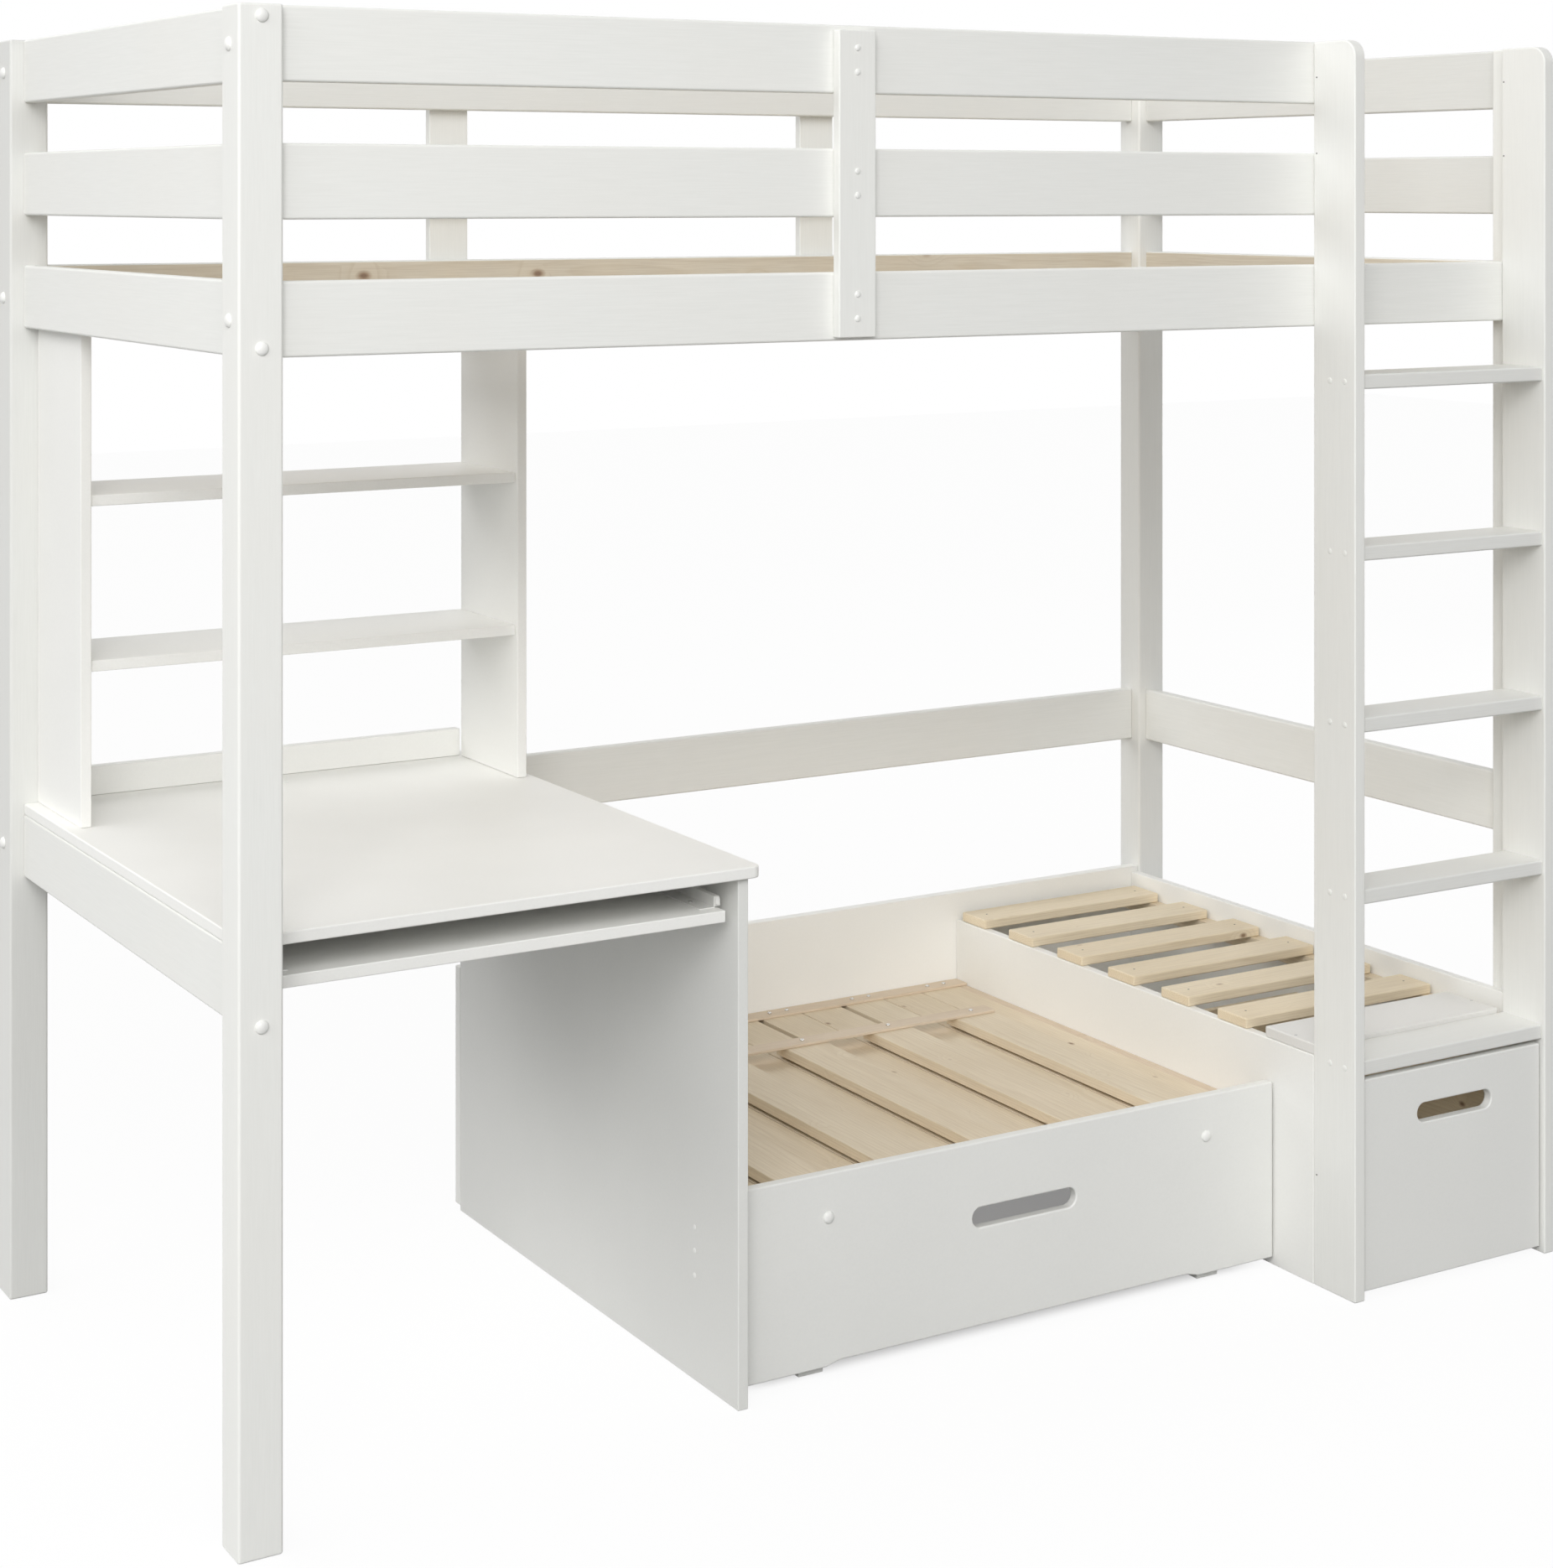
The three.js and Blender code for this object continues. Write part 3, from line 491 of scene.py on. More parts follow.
def plate(name, outline, hole, axis, low, high, body, finish, node=None, edge=2 * MM, grain="x"):
    """A flat board of any outline, with an optional hole and all edges rounded. The wall of
    the outline is carried from face to face with the inset of end_rounding, the hole's wall
    the other way round, and both faces are filled between them."""
    stations, insets, lean, upright = end_rounding(low, high, edge)
    walls = [(outline[0], outline[1])]
    if hole:
        walls.append((hole[0][::-1], -hole[1][::-1]))
    points, normals, faces, caps = [], [], [], ([], [])
    first = 0
    for flat, out in walls:
        ring = flat[None] - insets[:, None, None] * out[None]
        points.append(into_space(ring, stations[:, None], axis).reshape(-1, 3))
        leaning = upright[:, None, None] * out[None]
        normals.append(into_space(leaning, lean[:, None], axis).reshape(-1, 3))
        faces += ring_faces(len(stations), len(flat), first)
        last = first + (len(stations) - 1) * len(flat)
        caps[0].append(np.arange(first, first + len(flat)))
        caps[1].append(np.arange(last, last + len(flat)))
        first += len(stations) * len(flat)
    points, normals = np.concatenate(points), np.concatenate(normals)
    for loops, facing in zip(caps, (-1, 1)):
        index = np.concatenate(loops)
        filled = tessellate_polygon([[Vector(p) for p in points[loop].tolist()] for loop in loops])
        corners = index[np.array(filled)]
        first_point, second_point, third_point = (points[corners[:, place]] for place in range(3))
        turns = np.cross(second_point - first_point, third_point - first_point)
        wrong = turns[:, AXES[axis]] * facing < 0
        corners[wrong] = corners[wrong][:, ::-1]
        faces += corners.tolist()
    return add_piece(name, points, normals, faces, body, finish, node, grain)


def turned(name, profile, centre, axis, sign, body, finish, sides=28):
    """A turned piece: the profile of (radius, height) pairs is carried round an axis through
    the centre, and its small first and last circles are closed."""
    profile = np.asarray(profile, float)
    slope = np.gradient(profile, axis=0)
    slope /= np.linalg.norm(slope, axis=1, keepdims=True)
    t = np.linspace(0, 2 * math.pi, sides, endpoint=False)
    circle = np.stack([np.cos(t), np.sin(t)], axis=1)
    out, rise = slope[:, 1], -slope[:, 0]
    if sign < 0:
        profile, out, rise = profile[::-1] * (1, -1), out[::-1], -rise[::-1]
    flat = profile[:, None, :1] * circle[None]
    points = into_space(flat, profile[:, 1][:, None], axis).reshape(-1, 3) + np.asarray(centre)
    normals = into_space(out[:, None, None] * circle[None], rise[:, None], axis).reshape(-1, 3)
    rings = len(profile)
    faces = ring_faces(rings, sides)
    faces.append(list(range(sides))[::-1])
    faces.append(list(range((rings - 1) * sides, rings * sides)))
    return add_piece(name, points, normals, faces, body, finish, None, "z")


def dome_profile(radius, height, foot):
    """Half of a flattened ball over a short straight foot, sunk by foot into its seat. Its
    points are (radius cos t, height sin t), and t stops a little short of the tip."""
    short_of_tip, steps = 0.04, 9
    t = np.linspace(0, math.pi / 2 - short_of_tip, steps)
    arc = np.stack([radius * np.cos(t), height * np.sin(t)], axis=1)
    return np.concatenate([[(radius * 0.05, -foot), (radius * 0.97, -foot)], arc])


# Painted frame


def paint_frame():
    """Posts, rails, battens, rungs and the lowest step. The bed's own four rails are left
    bare on the side that the mattress covers."""
    post_edge, rail_edge, batten_edge, rung_edge = 4 * MM, 3.5 * MM, 2 * MM, 3 * MM
    post_end, rail_end, rung_end = 3 * MM, 1 * MM, 0.6 * MM
    # Painted shade and light: these pieces get a darker or lighter copy of the paint in place of the light
    # that falls on them
    painted_shade_and_light = {"post_back_left": "dull", "right_end_rail_top": "dull", "right_end_rail_middle": "dull",
             "back_rail_top": "soft", "right_end_rail_lower": "clear"}
    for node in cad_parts:
        low, high = node_box(node)
        tone = painted_shade_and_light.get(node, "paint")
        if node.startswith("post_"):
            board(node + "_painted", low, high, "z", "frame", tone, node, post_edge, ends=post_end)
        elif "_rail_" in node:
            grain, across = ("y", "x") if "end_rail" in node else ("x", "y")
            sign = 1 if node.startswith(("left", "front")) else -1
            bare = ("rail", across, sign) if node.endswith("bottom") else None
            board(node + "_painted", low, high, grain, "frame", tone, node, rail_edge, bare, rail_end)
        elif "batten" in node:
            board(node + "_painted", low, high, "z", "frame", "paint", node, batten_edge)
        elif node.startswith("ladder_rung") or node == "step_board":
            # Rungs and the step get the slightly darker copy of the paint: painted shade
            board(node + "_painted", low, high, "x", "frame", "soft", node, rung_edge, ends=rung_end)


def paint_stiles():
    """Ladder stiles: flat boards whose front corner is rounded at the top."""
    top_round, corner, edge = 26 * MM, 2.8 * MM, 2.6 * MM
    for node in ("ladder_stile_left", "ladder_stile_right"):
        low, high = node_box(node)
        corners = [(low[1], low[2]), (high[1], low[2]), (high[1], high[2]), (low[1], high[2])]
        outline = rounded_outline(corners, (corner, corner, corner, top_round), 10)
        plate(node + "_painted", outline, None, "x", low[0], high[0], "frame", "paint", node, edge, "z")


# Desk, shelves and keyboard tray

SHEET_EDGE = 1.6 * MM


def paint_desk():
    """Desk top with its rounded front corner and the notch round the back post, and the flat
    boards of the desk and the shelves."""
    low, high = node_box("desk_top")
    post = node_box("post_back_left")
    gap, edge = 0.3 * MM, 2.2 * MM
    notch_x, notch_y = post[1][0] + gap, post[0][1] - gap
    corners = [(low[0], low[1]), (high[0], low[1]), (high[0], high[1]), (notch_x, high[1]),
               (notch_x, notch_y), (low[0], notch_y)]
    radii = np.array([2.4, 12, 2.4, 2.4, 1, 2.4]) * MM
    plate("desk_top_painted", rounded_outline(corners, radii), None, "z", low[2], high[2],
          "frame", "panel", "desk_top", edge)
    # The side panel gets the darkest copy of the board paint: painted shade under the desk
    board("desk_side_panel_painted", *node_box("desk_side_panel"), "z", "frame", "side",
          "desk_side_panel", SHEET_EDGE)
    flat_boards = {
        "desk_upstand": "x", "shelf_upright_left": "z",
        "shelf_upright_right": "z", "shelf_lower": "x", "shelf_upper": "x",
    }
    for node, grain in flat_boards.items():
        board(node + "_painted", *node_box(node), grain, "frame", "panel", node, SHEET_EDGE)
    board("keyboard_tray_painted", *node_box("keyboard_tray"), "x", "keyboard_tray", "panel",
          "keyboard_tray", SHEET_EDGE)


SLIDE_SCREW = dome_profile(3.4 * MM, 1.6 * MM, 0.2 * MM)


def dress_slides():
    """The tray's white-coated metal slides. The bar on the tray keeps its solid and gets a light
    stop and screws. The channel's web is low at the front, with a raised nose there, and only
    its rear part goes up to the flange under the desk."""
    stop_depth, stop_drops, screw_inset, sheet = 3 * MM, (11.4 * MM, 0.6 * MM), 9 * MM, 1.5 * MM
    for side, sign in (("left", -1), ("right", 1)):
        bar = f"tray_slide_{side}"
        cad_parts[bar].data.materials.clear()
        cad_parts[bar].data.materials.append(FINISH["coated"])
        low, high = node_box(bar)
        edge = high[0] if sign > 0 else low[0]
        stop_x = sorted((edge - sign * 0.4 * MM, edge - sign * 6.1 * MM))
        stop_low = (stop_x[0], low[1] - stop_depth, high[2] - stop_drops[0])
        stop_high = (stop_x[1], low[1] - 0.2 * MM, high[2] - stop_drops[1])
        board(f"tray_stop_{side}", stop_low, stop_high, "y", "keyboard_tray", "coated", None, 1.2 * MM)
        foot_x = (low[0] if sign > 0 else high[0]) + sign * screw_inset
        for number, share in enumerate((0.12, 0.5, 0.88)):
            y = low[1] + (high[1] - low[1]) * share
            turned(f"tray_slide_{side}_screw_{number + 1}", SLIDE_SCREW, (foot_x, y, low[2] + sheet), "z", 1,
                   "keyboard_tray", "screw", 16)
        hang_channel(side, sign)


def hang_channel(side, sign):
    """Web plate of the channel with its stepped upper edge, its lip under the bar and its
    flange under the desk."""
    node = f"tray_channel_{side}"
    low, high = node_box(node)
    sheet, edge, gap = 1.5 * MM, 0.4 * MM, 0.3 * MM
    lip_reach, flange_reach, screw_inset = 6.5 * MM, 19 * MM, 13.5 * MM
    nose, step, rise, slant, flange_start = 36 * MM, 58 * MM, 112 * MM, 14 * MM, 18 * MM
    nose_height, nose_rear_height, web_height = 11 * MM, 9.5 * MM, 3.2 * MM
    web = (high[0] - sheet, high[0]) if sign > 0 else (low[0], low[0] + sheet)
    front, rear, foot, top = low[1], high[1], low[2], high[2]
    # Across X an outline is given as (Y, Z)
    corners = [(front, foot), (rear, foot), (rear, top), (front + rise + slant, top),
               (front + rise, foot + web_height), (front + step, foot + web_height),
               (front + nose, foot + nose_rear_height), (front, foot + nose_height)]
    radii = np.array([0.7, 0.7, 0.7, 3, 3, 3, 3, 2]) * MM
    plate(f"{node}_web", ccw(rounded_outline(corners, radii)), None, "x", *web, "frame", "coated", node,
          edge, "y")
    inner = web[0] if sign > 0 else web[1]
    folds = (("lip", lip_reach, front, foot),
             ("flange", flange_reach, front + rise + flange_start, top - sheet))
    for part, reach, start, level in folds:
        x = sorted((inner + sign * gap, inner - sign * reach))
        board(f"{node}_{part}", (x[0], start, level), (x[1], rear, level + sheet), "y", "frame", "coated",
              node, edge)
    for number, share in enumerate((0.45, 0.85)):
        place = (inner - sign * screw_inset, front + (rear - front) * share, top - sheet)
        turned(f"{node}_screw_{number + 1}", SLIDE_SCREW, place, "z", -1, "frame", "screw", 16)


# Lounge

BOARD_COUNT = 11
BOARD_WIDTH = 76 * MM
BOARD_THICKNESS = 16 * MM
NARROW_GAP = 2.25 * MM
WIDE_GAP = 11.2 * MM
EDGE_STRIP = 18 * MM
STRIP_DEPTH = 34 * MM
STRIP_THICKNESS = 4.5 * MM
STRIP_EDGE = 1.2 * MM
BAR_DEPTH = 30 * MM
BAR_EDGE = 1.5 * MM


def lounge_board_places(right):
    """Left edges of the boards from right to left: open to view and covered ones in turn. The
    gap left of an open board is wide, apart from the first one."""
    order = np.arange(BOARD_COUNT)
    is_open = order % 2 == 0
    gaps = np.where(is_open & (order > 0), WIDE_GAP, NARROW_GAP)
    first = right - EDGE_STRIP - BOARD_WIDTH
    lefts = first - np.concatenate([[0], np.cumsum(BOARD_WIDTH + gaps[:-1])])
    return lefts[is_open], lefts[~is_open]


def dress_lounge():
    """The lounge's fixed boards, strips, crossbars and back panel. Returns the left edges of
    the boards that slide out."""
    fixed_edge, slide_gap, screw_shift = 0.9 * MM, 0.3 * MM, 17 * MM
    low, high = node_box("fixed_boards")
    opened, covered = lounge_board_places(high[0])
    top = high[2] - STRIP_THICKNESS
    under = top - BOARD_THICKNESS
    node = "fixed_boards"
    for number, left in enumerate(sorted([*opened, *covered])):
        board(f"fixed_board_{number + 1}", (left, low[1], under), (left + BOARD_WIDTH, high[1], top),
              "y", "frame", "pine", node, fixed_edge)
    for name, x in (("left", low[0]), ("right", high[0] - EDGE_STRIP)):
        board(f"lounge_edge_strip_{name}", (x, low[1], under), (x + EDGE_STRIP, high[1], top),
              "y", "frame", "strip", node, STRIP_EDGE)
    board("lounge_rear_strip", (low[0], high[1] - STRIP_DEPTH, top), high, "x", "frame", "strip", node,
          STRIP_EDGE)
    board("lounge_slide_strip", (low[0], low[1], top), (high[0], low[1] + STRIP_DEPTH, high[2] - slide_gap),
          "x", "frame", "strip", node, STRIP_EDGE)
    board("lounge_front_crossbar", low, (high[0], low[1] + BAR_DEPTH, under), "x", "frame", "pine", node,
          BAR_EDGE)
    board("lounge_rear_crossbar_planed", *node_box("lounge_rear_crossbar"), "x", "frame", "pine",
          "lounge_rear_crossbar", BAR_EDGE)
    board("lounge_back_painted", *node_box("lounge_back_panel"), "x", "frame", "panel",
          "lounge_back_panel", SHEET_EDGE)
    screw_y = high[1] - STRIP_DEPTH / 2
    for number, left in enumerate(sorted(opened)):
        for side, shift in (("left", -screw_shift), ("right", screw_shift)):
            place = (left + BOARD_WIDTH / 2 + shift, screw_y, high[2])
            screw(f"rear_strip_screw_{number + 1}_{side}", place, "frame")
    return covered


def screw(name, place, body):
    """A pan head screw that looks up: a low bright head with rounded shoulders and a small sunk
    recess, turned from (radius, height) pairs in millimetres."""
    profile = [(0.2, -0.4), (3.7, -0.3), (3.7, 0.8), (3.4, 1.7), (2.7, 2.3), (1.7, 2.45), (1.1, 2.25),
               (0.7, 1.3), (0.2, 1.2)]
    turned(name, np.array(profile) * MM, place, "z", 1, body, "screw", 20)


def dress_pull_out(covered):
    """The lounge's front with its hand slot and its raised lower edge between two feet, the
    boards behind it at the given left edges, their strip, pads, batten and screws, and the legs."""
    relief, foot, slope, edge = 5.5 * MM, 143 * MM, 22 * MM, 2.6 * MM
    slot_shift, slot_height, slot_length, slot_width = 8.4 * MM, 171.3 * MM, 182 * MM, 28.4 * MM
    low, high = node_box("pull_out_front")
    left, right, bottom, top = low[0], high[0], low[2], high[2]
    # Across Y an outline is given as (Z, X), anticlockwise seen from behind
    corners = [(bottom, left), (top, left), (top, right), (bottom, right), (bottom, right - foot),
               (bottom + relief, right - foot - slope), (bottom + relief, left + foot + slope),
               (bottom, left + foot)]
    radii = np.array([2.8, 2.8, 2.8, 2.8, 3, 3, 3, 3]) * MM
    hole = slot_outline((left + right) / 2 + slot_shift, slot_height, slot_length, slot_width)
    # The pull-out front gets a darker copy of the board paint: painted shade
    plate("pull_out_front_painted", ccw(rounded_outline(corners[::-1], radii[::-1])), hole, "y", low[1],
          high[1], "pull_out_lounge", "front", "pull_out_front", edge)
    low, high = node_box("pull_out_boards")
    node = "pull_out_boards"
    top = high[2] - STRIP_THICKNESS
    under = top - BOARD_THICKNESS
    pad_start, pad_end, pad_thickness, pad_edge = 13 * MM, 63 * MM, 4.2 * MM, 1 * MM
    strip_front = high[1] - STRIP_DEPTH
    for number, left in enumerate(sorted(covered)):
        board(f"pull_out_board_{number + 1}", (left, low[1], under), (left + BOARD_WIDTH, high[1], top),
              "y", "pull_out_lounge", "pine", node, STRIP_EDGE)
        pad_low = (left + pad_start, strip_front, under - pad_thickness)
        pad_high = (left + pad_end, high[1], under)
        board(f"pull_out_pad_{number + 1}", pad_low, pad_high, "x", "pull_out_lounge", "strip", node,
              pad_edge)
        screw(f"pull_out_screw_{number + 1}", (left + BOARD_WIDTH / 2, high[1] - STRIP_DEPTH / 2, high[2]),
              "pull_out_lounge")
    board("pull_out_strip", (low[0], strip_front, top), high, "x", "pull_out_lounge", "strip", node,
          STRIP_EDGE)
    board("pull_out_batten", low, (high[0], low[1] + BAR_DEPTH, under), "x", "pull_out_lounge", "pine",
          node, BAR_EDGE)
    for side in ("left", "right"):
        leg = f"pull_out_leg_{side}"
        board(leg + "_painted", *node_box(leg), "z", "pull_out_lounge", "paint", leg, BAR_EDGE)


def slot_outline(centre_x, centre_z, length, height):
    """Hand slot with round ends, given as (Z, X) across Y. Its corner radius is a hair under
    half its height, so that the arcs of an end don't meet in one point."""
    z, x, hair, steps = height / 2, length / 2, 0.999, 12
    corners = [(centre_z - z, centre_x - x), (centre_z + z, centre_x - x),
               (centre_z + z, centre_x + x), (centre_z - z, centre_x + x)]
    return ccw(rounded_outline(corners[::-1], [z * hair] * 4, steps))


def ccw(outline):
    """The outline anticlockwise, with normals that point outwards."""
    points, normals = outline
    after = np.roll(points, -1, axis=0)
    area = (points[:, 0] * after[:, 1] - points[:, 1] * after[:, 0]).sum()
    if area < 0:
        return points[::-1], -normals[::-1]
    return points, normals


# Bench and drawer


def dress_bench():
    """The bench's two boards with the drawer's runners at their feet, the white front slat, the
    bare slats with a nail near each end, its head near-black as painted shade of a hole, and the ledger."""
    thick, runner_top, runner_start, runner_end = 16 * MM, 24.7 * MM, 14 * MM, 544.3 * MM
    for side in ("left", "right"):
        node = f"bench_board_{side}"
        low, high = node_box(node)
        if side == "left":
            board_x, runner_x = (low[0], low[0] + thick), (low[0] + thick, high[0])
        else:
            board_x, runner_x = (high[0] - thick, high[0]), (low[0], high[0] - thick)
        board(node + "_painted", (board_x[0], low[1], low[2]), (board_x[1], high[1], high[2]), "y",
              "frame", "panel", node, SHEET_EDGE)
        board(f"drawer_runner_{side}", (runner_x[0], low[1] + runner_start, low[2]),
              (runner_x[1], low[1] + runner_end, low[2] + runner_top), "y", "frame", "pine", node,
              STRIP_EDGE)
    # The white slat gets a darker copy of the board paint: painted shade
    board("bench_front_slat_painted", *node_box("bench_front_slat"), "x", "frame", "seat",
          "bench_front_slat", 2 * MM)
    low, high = node_box("bench_slats")
    slat_count, slat_width, pitch, slat_edge, slat_end = 6, 70 * MM, 139.3 * MM, 2.6 * MM, 2.4 * MM
    rear, slat_right, ledger_width, gap = high[1] - 15.5 * MM, high[0] - 4.4 * MM, 22 * MM, 0.3 * MM
    nail = np.array([(0.2, -0.6), (1.7, -0.5), (1.75, 0.02), (1.4, 0.06), (0.1, 0.03)]) * MM
    node = "bench_slats"
    under = high[2] - thick
    for number in range(slat_count):
        y = rear - number * pitch - slat_width
        board(f"bench_slat_{number + 1}", (low[0], y, under), (slat_right, y + slat_width, high[2]), "x",
              "frame", "slat", node, slat_edge, ends=slat_end)
        # Each nail head is near-black: painted shade of its hole
        for side, x in (("left", low[0] + 28 * MM), ("right", slat_right - 26 * MM)):
            turned(f"bench_nail_{number + 1}_{side}", nail, (x, y + slat_width / 2, high[2]), "z", 1,
                   "frame", "hole", 12)
    board("bench_ledger", (high[0] - ledger_width, low[1], low[2]), (high[0], high[1], under - gap),
          "y", "frame", "pine", node, STRIP_EDGE)


def dress_drawer():
    """The drawer's front with its hand slot, and its box."""
    corner, edge = 2.6 * MM, 2.4 * MM
    slot_shift, slot_drop, slot_length, slot_width = 3.5 * MM, 66.8 * MM, 150 * MM, 28.6 * MM
    low, high = node_box("drawer_front")
    corners = [(low[2], low[0]), (high[2], low[0]), (high[2], high[0]), (low[2], high[0])]
    middle = (low[0] + high[0]) / 2 + slot_shift
    hole = slot_outline(middle, high[2] - slot_drop, slot_length, slot_width)
    # The drawer front gets a darker copy of the board paint: painted shade
    plate("drawer_front_painted", ccw(rounded_outline(corners[::-1], [corner] * 4)), hole, "y", low[1],
          high[1], "drawer", "front", "drawer_front", edge)
    grains = {"drawer_side_left": "y", "drawer_side_right": "y", "drawer_back": "x", "drawer_bottom": "y"}
    for node, grain in grains.items():
        finish = "panel" if node == "drawer_bottom" else "slat"
        board(node + "_planed", *node_box(node), grain, "drawer", finish, node, STRIP_EDGE)


# Slatted base of the upper bed


def dress_upper_base():
    """Ledgers, slats at an even pitch, and the two tapes that hold them."""
    for node in ("ledger_front", "ledger_back"):
        board(node + "_planed", *node_box(node), "x", "frame", "pine", node, BAR_EDGE)
    node = "upper_slat_base"
    low, high = node_box(node)
    count, width, pitch, thick, edge = 14, 70 * MM, 142 * MM, 16 * MM, 2 * MM
    for number in range(count):
        x = low[0] + number * pitch
        board(f"upper_slat_{number + 1}", (x, low[1], high[2] - thick), (x + width, high[1], high[2]), "y",
              "frame", "pine", node, edge)
    half_tape, tape_thick, tape_edge = 12.5 * MM, 1.6 * MM, 0.7 * MM
    for number, share in enumerate((0.25, 0.75)):
        y = low[1] + (high[1] - low[1]) * share
        board(f"slat_tape_{number + 1}", (low[0], y - half_tape, low[2]),
              (high[0], y + half_tape, low[2] + tape_thick), "x", "frame", "tape", node, tape_edge)


# Small fittings


def fit_caps():
    """Dome cap nuts on the posts and the pull-out front, small caps on battens and stiles.
    Places are millimetres from the front left post's outer corner."""
    big = dome_profile(8.6 * MM, 5.2 * MM, 0.4 * MM)
    small = dome_profile(4.5 * MM, 2.3 * MM, 0.3 * MM)
    flat = dome_profile(4.5 * MM, 1.2 * MM, 0.2 * MM)
    guard_z, bed_z, desk_z = 1835.6, 1439, 633
    side_z, back_side_z = (1802, 1472), (1802, 1470.5, 665.7)
    depth, length, inset, side_front, side_back = 1007, 2146, 29.6, 31.7, 982
    places = [("post_front_left", inset, 0, z, "y", -1) for z in (guard_z, bed_z, desk_z)]
    places += [("post_front_right", length - inset, 0, bed_z, "y", -1)]
    places += [("post_back_left", inset, depth, z, "y", 1) for z in (guard_z, bed_z, desk_z)]
    places += [("post_back_right", length - inset, depth, z, "y", 1) for z in (guard_z, bed_z, desk_z)]
    for x, side, sign in ((0, "left", -1), (length, "right", 1)):
        places += [(f"post_front_{side}", x, side_front, z, "x", sign) for z in side_z]
        places += [(f"post_back_{side}", x, side_back, z, "x", sign) for z in back_side_z]
    for number, (name, x, y, z, axis, sign) in enumerate(places):
        turned(f"{name}_cap_{number + 1}", big, from_corner(x, y, z), axis, sign, "frame", "cap")
    front, pull_out_z = node_box("pull_out_front")[0][1], 218
    for side, x in (("left", 888), ("right", 1551.6)):
        place = from_corner(x, 0, pull_out_z)
        place[1] = front
        turned(f"pull_out_cap_{side}", big, place, "y", -1, "pull_out_lounge", "cap")
    batten_z = (1819, 1786.5, 1654, 1621.5, 1489, 1456.5)
    step_cap_y = (-20, -52)
    battens = (("front_batten", -1), ("back_batten_left", 1), ("back_batten_right", 1))
    for batten, sign in battens:
        low, high = node_box(batten)
        face = high[1] if sign > 0 else low[1]
        for number, z in enumerate(batten_z):
            turned(f"{batten}_cap_{number + 1}", small, ((low[0] + high[0]) / 2, face, z * MM), "y", sign,
                   "frame", "cap", 20)
    for side, sign in (("left", -1), ("right", 1)):
        low, high = node_box(f"ladder_stile_{side}")
        face = low[0] if sign < 0 else high[0]
        steps = ["step_board"] + [f"ladder_rung_{number}" for number in range(1, 5)]
        for step in steps:
            middle = sum(box[2] for box in node_box(step)) / 2
            for number, y in enumerate(step_cap_y):
                place = (face, from_corner(0, y, 0)[1], middle)
                turned(f"{step}_cap_{side}_{number + 1}", flat, place, "x", sign, "frame", "paint", 20)


def fit_marks():
    """Pilot holes in the stiles, drawn as flat near-black dots of painted shade, plugs in the desk's
    side panel, the two screws of the white slat and the cap over a hole at the desk's rear edge.
    Places are millimetres from the front left post's outer corner."""
    dot = np.array([(0.1, -0.4), (1.3, -0.4), (1.3, 0.03), (0.1, 0.05)]) * MM
    holes = (("left", 8.7, (1797, 1684, 165)), ("right", 11.5, (1798, 1683)))
    for side, y, heights in holes:
        face = node_box(f"ladder_stile_{side}")[0][0]
        # Each pilot hole is a flat near-black dot: painted shade
        for number, z in enumerate(heights):
            turned(f"stile_hole_shade_{side}_{number + 1}", dot, (face, from_corner(0, y, 0)[1], z * MM), "x", -1,
                   "frame", "hole", 12)
    panel, plug_y = node_box("desk_side_panel")[0][0], 187
    plug = dome_profile(4 * MM, 0.8 * MM, 0.2 * MM)
    for number, z in enumerate((209, 177, 143.5)):
        place = (panel, from_corner(0, plug_y, 0)[1], z * MM)
        turned(f"desk_plug_{number + 1}", plug, place, "x", -1, "frame", "cap", 20)
    slat_top, slat_screw_y = node_box("bench_front_slat")[1][2], 67
    for side, x in (("left", 1694), ("right", 2054.8)):
        place = from_corner(x, slat_screw_y, 0)
        place[2] = slat_top
        turned(f"slat_screw_{side}", dot * 2, place, "z", 1, "frame", "steel", 16)
    place = from_corner(407.2, 897.9, 0)
    place[2] = node_box("desk_top")[1][2]
    turned("desk_top_plug", dome_profile(5 * MM, 1.6 * MM, 0.2 * MM), place, "z", 1, "frame", "cap", 20)


# Studio


def light_studio():
    """A ring of soft white light that stands a third of the way up the sky, strong at the
    front, the left and the back and weak at the right, and three broad lamps: at the front
    left, at the left, and behind the right end for its outer faces. The ring's level is its
    level by height times its level by side. Camera and gloss see plain white."""
    world = bpy.data.worlds.new("studio")
    bpy.context.scene.world = world
    s = Shader(world)
    s.tree.nodes.clear()
    sky = s.node("ShaderNodeTexCoord").outputs["Generated"]
    parts = s.node("ShaderNodeSeparateXYZ", sky)
    ring = s.ramp(parts.outputs["Z"], *RING_BY_HEIGHT)
    sides = s.ramp(parts.outputs["X"], *RING_BY_SIDE)
    strength = s.math("MULTIPLY", s.math("MULTIPLY", ring, sides), RING_LEVEL)
    fill = s.node("ShaderNodeBackground", None, strength)
    plain = s.node("ShaderNodeBackground", (1.0, 1.0, 1.0, 1.0))
    mix = s.node("ShaderNodeMixShader", s.seen_directly(), fill.outputs[0], plain.outputs[0])
    s.node("ShaderNodeOutputWorld", mix.outputs[0])
    for name, (place, power) in LAMPS.items():
        soft_lamp(name, place, power)


def soft_lamp(name, place, power):
    """A broad square lamp aimed at the middle of the bed."""
    lamp = bpy.data.lights.new(name, "AREA")
    lamp.size = LAMP_SIZE
    lamp.energy = power
    made = bpy.data.objects.new(name, lamp)
    made.location = place
    aim = Vector(LAMP_AIM) - made.location
    made.rotation_euler = aim.to_track_quat("-Z", "Y").to_euler()
    bpy.context.scene.collection.objects.link(made)


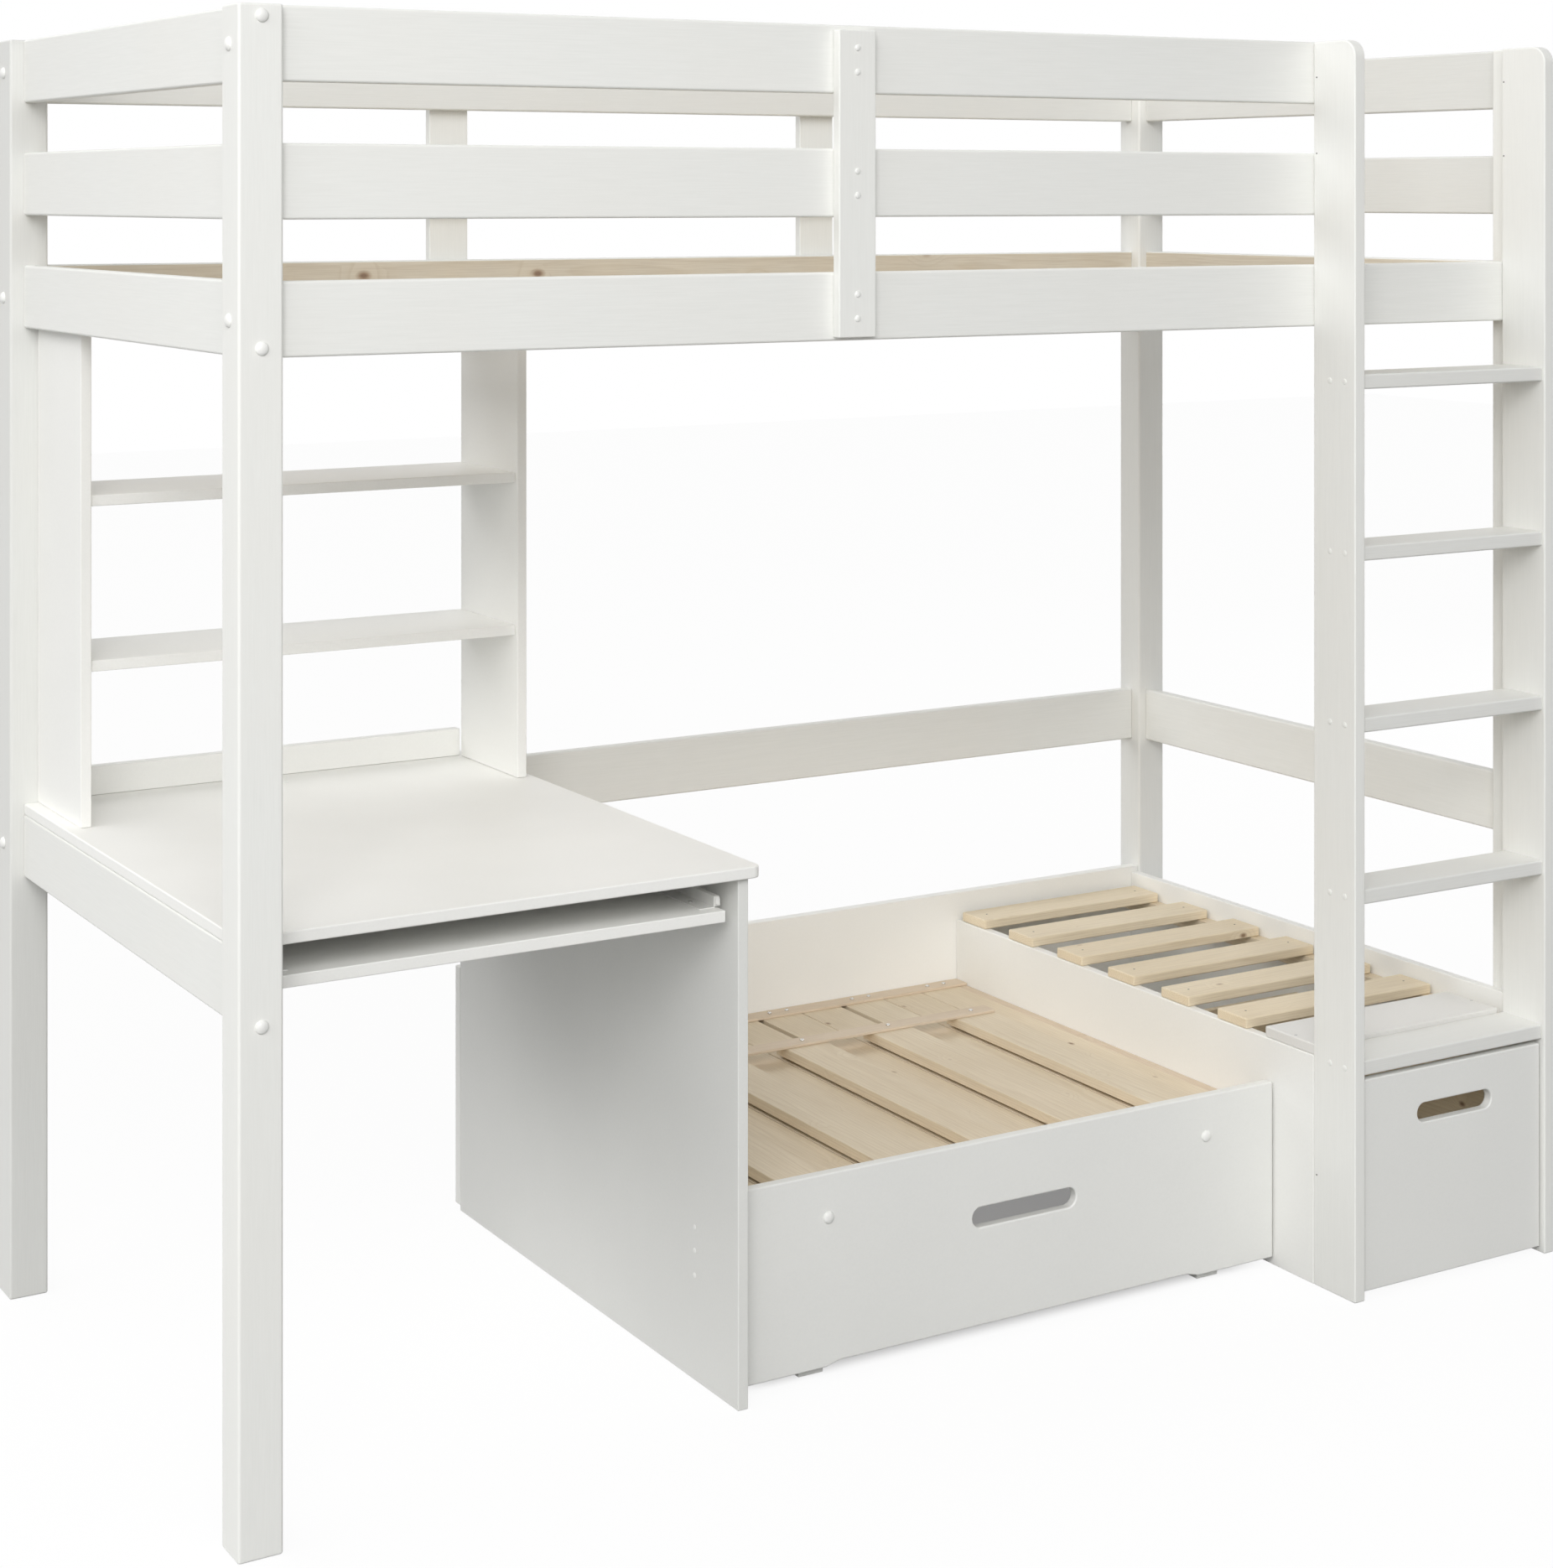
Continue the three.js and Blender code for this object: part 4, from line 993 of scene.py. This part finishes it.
def floor_patch(shader, parts, *spans):
    """1 on the floor inside a rectangle given as X and Y spans, fading to 0 at its border."""
    full, none = 0.86, 0.99
    patch = None
    for axis, (start, end) in enumerate(spans):
        away = shader.math("ABSOLUTE", shader.math("SUBTRACT", parts.outputs[axis], (start + end) / 2))
        inside = shader.ramp(shader.math("DIVIDE", away, (end - start) / 2), (full, 1.0), (none, 0.0))
        patch = inside if patch is None else shader.math("MULTIPLY", patch, inside)
    return patch


def lay_floor():
    """A pale floor. The camera and gloss see it nearly as plain white, with a faint shadow
    round the bed. Under the lounge, where only the hand slot shows it, its shadow stays deep.
    All other rays see a grey floor with small specks, which is pale under the bench: painted light that
    brightens the bench's inside."""
    s = shaded("studio_floor")
    place = s.object_place()
    speck = s.noise(place, 120.0, 2.0, 0.5)
    tone = s.mix(s.ramp(speck, (0.4, 0.0), (0.6, 1.0)), FLOOR_DULL, FLOOR_PALE)
    parts = s.node("ShaderNodeSeparateXYZ", place)
    front, back = node_box("pull_out_front"), node_box("lounge_back_panel")
    under_lounge = floor_patch(s, parts, (front[0][0], front[1][0]), (front[0][1], back[1][1]))
    left, right = node_box("bench_board_left"), node_box("bench_board_right")
    painted_light_under_bench = floor_patch(s, parts, (left[0][0], right[1][0]), (left[0][1], left[1][1]))
    roughness = 0.9
    # The pale patch under the bench is painted light for the bench's inside
    s.finish(s.mix(painted_light_under_bench, tone, FLOOR_PAINTED_LIGHT_UNDER_BENCH), roughness)
    less = s.math("MULTIPLY", under_lounge, FLOOR_LOUNGE_SHARE)
    plain_share = s.math("SUBTRACT", FLOOR_PLAIN_SHARE, less)
    white = s.node("ShaderNodeEmission")
    chalk = s.node("ShaderNodeBsdfDiffuse", opaque(FLOOR_CHALK))
    seen_floor = s.node("ShaderNodeMixShader", plain_share, chalk.outputs[0], white.outputs[0])
    surface = s.tree.nodes["Principled BSDF"].outputs[0]
    mix = s.node("ShaderNodeMixShader", s.seen_directly(), surface, seen_floor.outputs[0])
    s.feed(s.tree.nodes["Material Output"].inputs["Surface"], mix.outputs[0])
    mesh = bpy.data.meshes.new("floor")
    corners = ((-1, -1), (1, -1), (1, 1), (-1, 1))
    mesh.from_pydata([(FLOOR_REACH * x, FLOOR_REACH * y, 0) for x, y in corners], [], [(0, 1, 2, 3)])
    mesh.materials.append(s.owner)
    floor = bpy.data.objects.new("floor", mesh)
    floor.location = (0, 0, -0.5 * MM)
    bpy.context.scene.collection.objects.link(floor)


def set_camera():
    """A level camera a little under the top of the posts, whose frame is moved down to take
    in the whole bed. It looks right by look_x for each look_y to the back."""
    look_x, look_y = 0.5137, 0.8580
    lens = bpy.data.cameras.new("camera")
    lens.lens = 65.85
    lens.sensor_width = 36.0
    lens.shift_y = -0.3749
    camera = bpy.data.objects.new("camera", lens)
    camera.location = (-2.2696, -3.70465, 1.6204)
    camera.rotation_euler = (math.pi / 2, 0, -math.atan2(look_x, look_y))
    bpy.context.scene.collection.objects.link(camera)
    bpy.context.scene.camera = camera


bpy.context.scene.view_settings.view_transform = "Standard"
set_camera()
light_studio()
lay_floor()
paint_frame()
paint_stiles()
paint_desk()
dress_slides()
pull_out_places = dress_lounge()
dress_pull_out(pull_out_places)
dress_bench()
dress_drawer()
dress_upper_base()
fit_caps()
fit_marks()
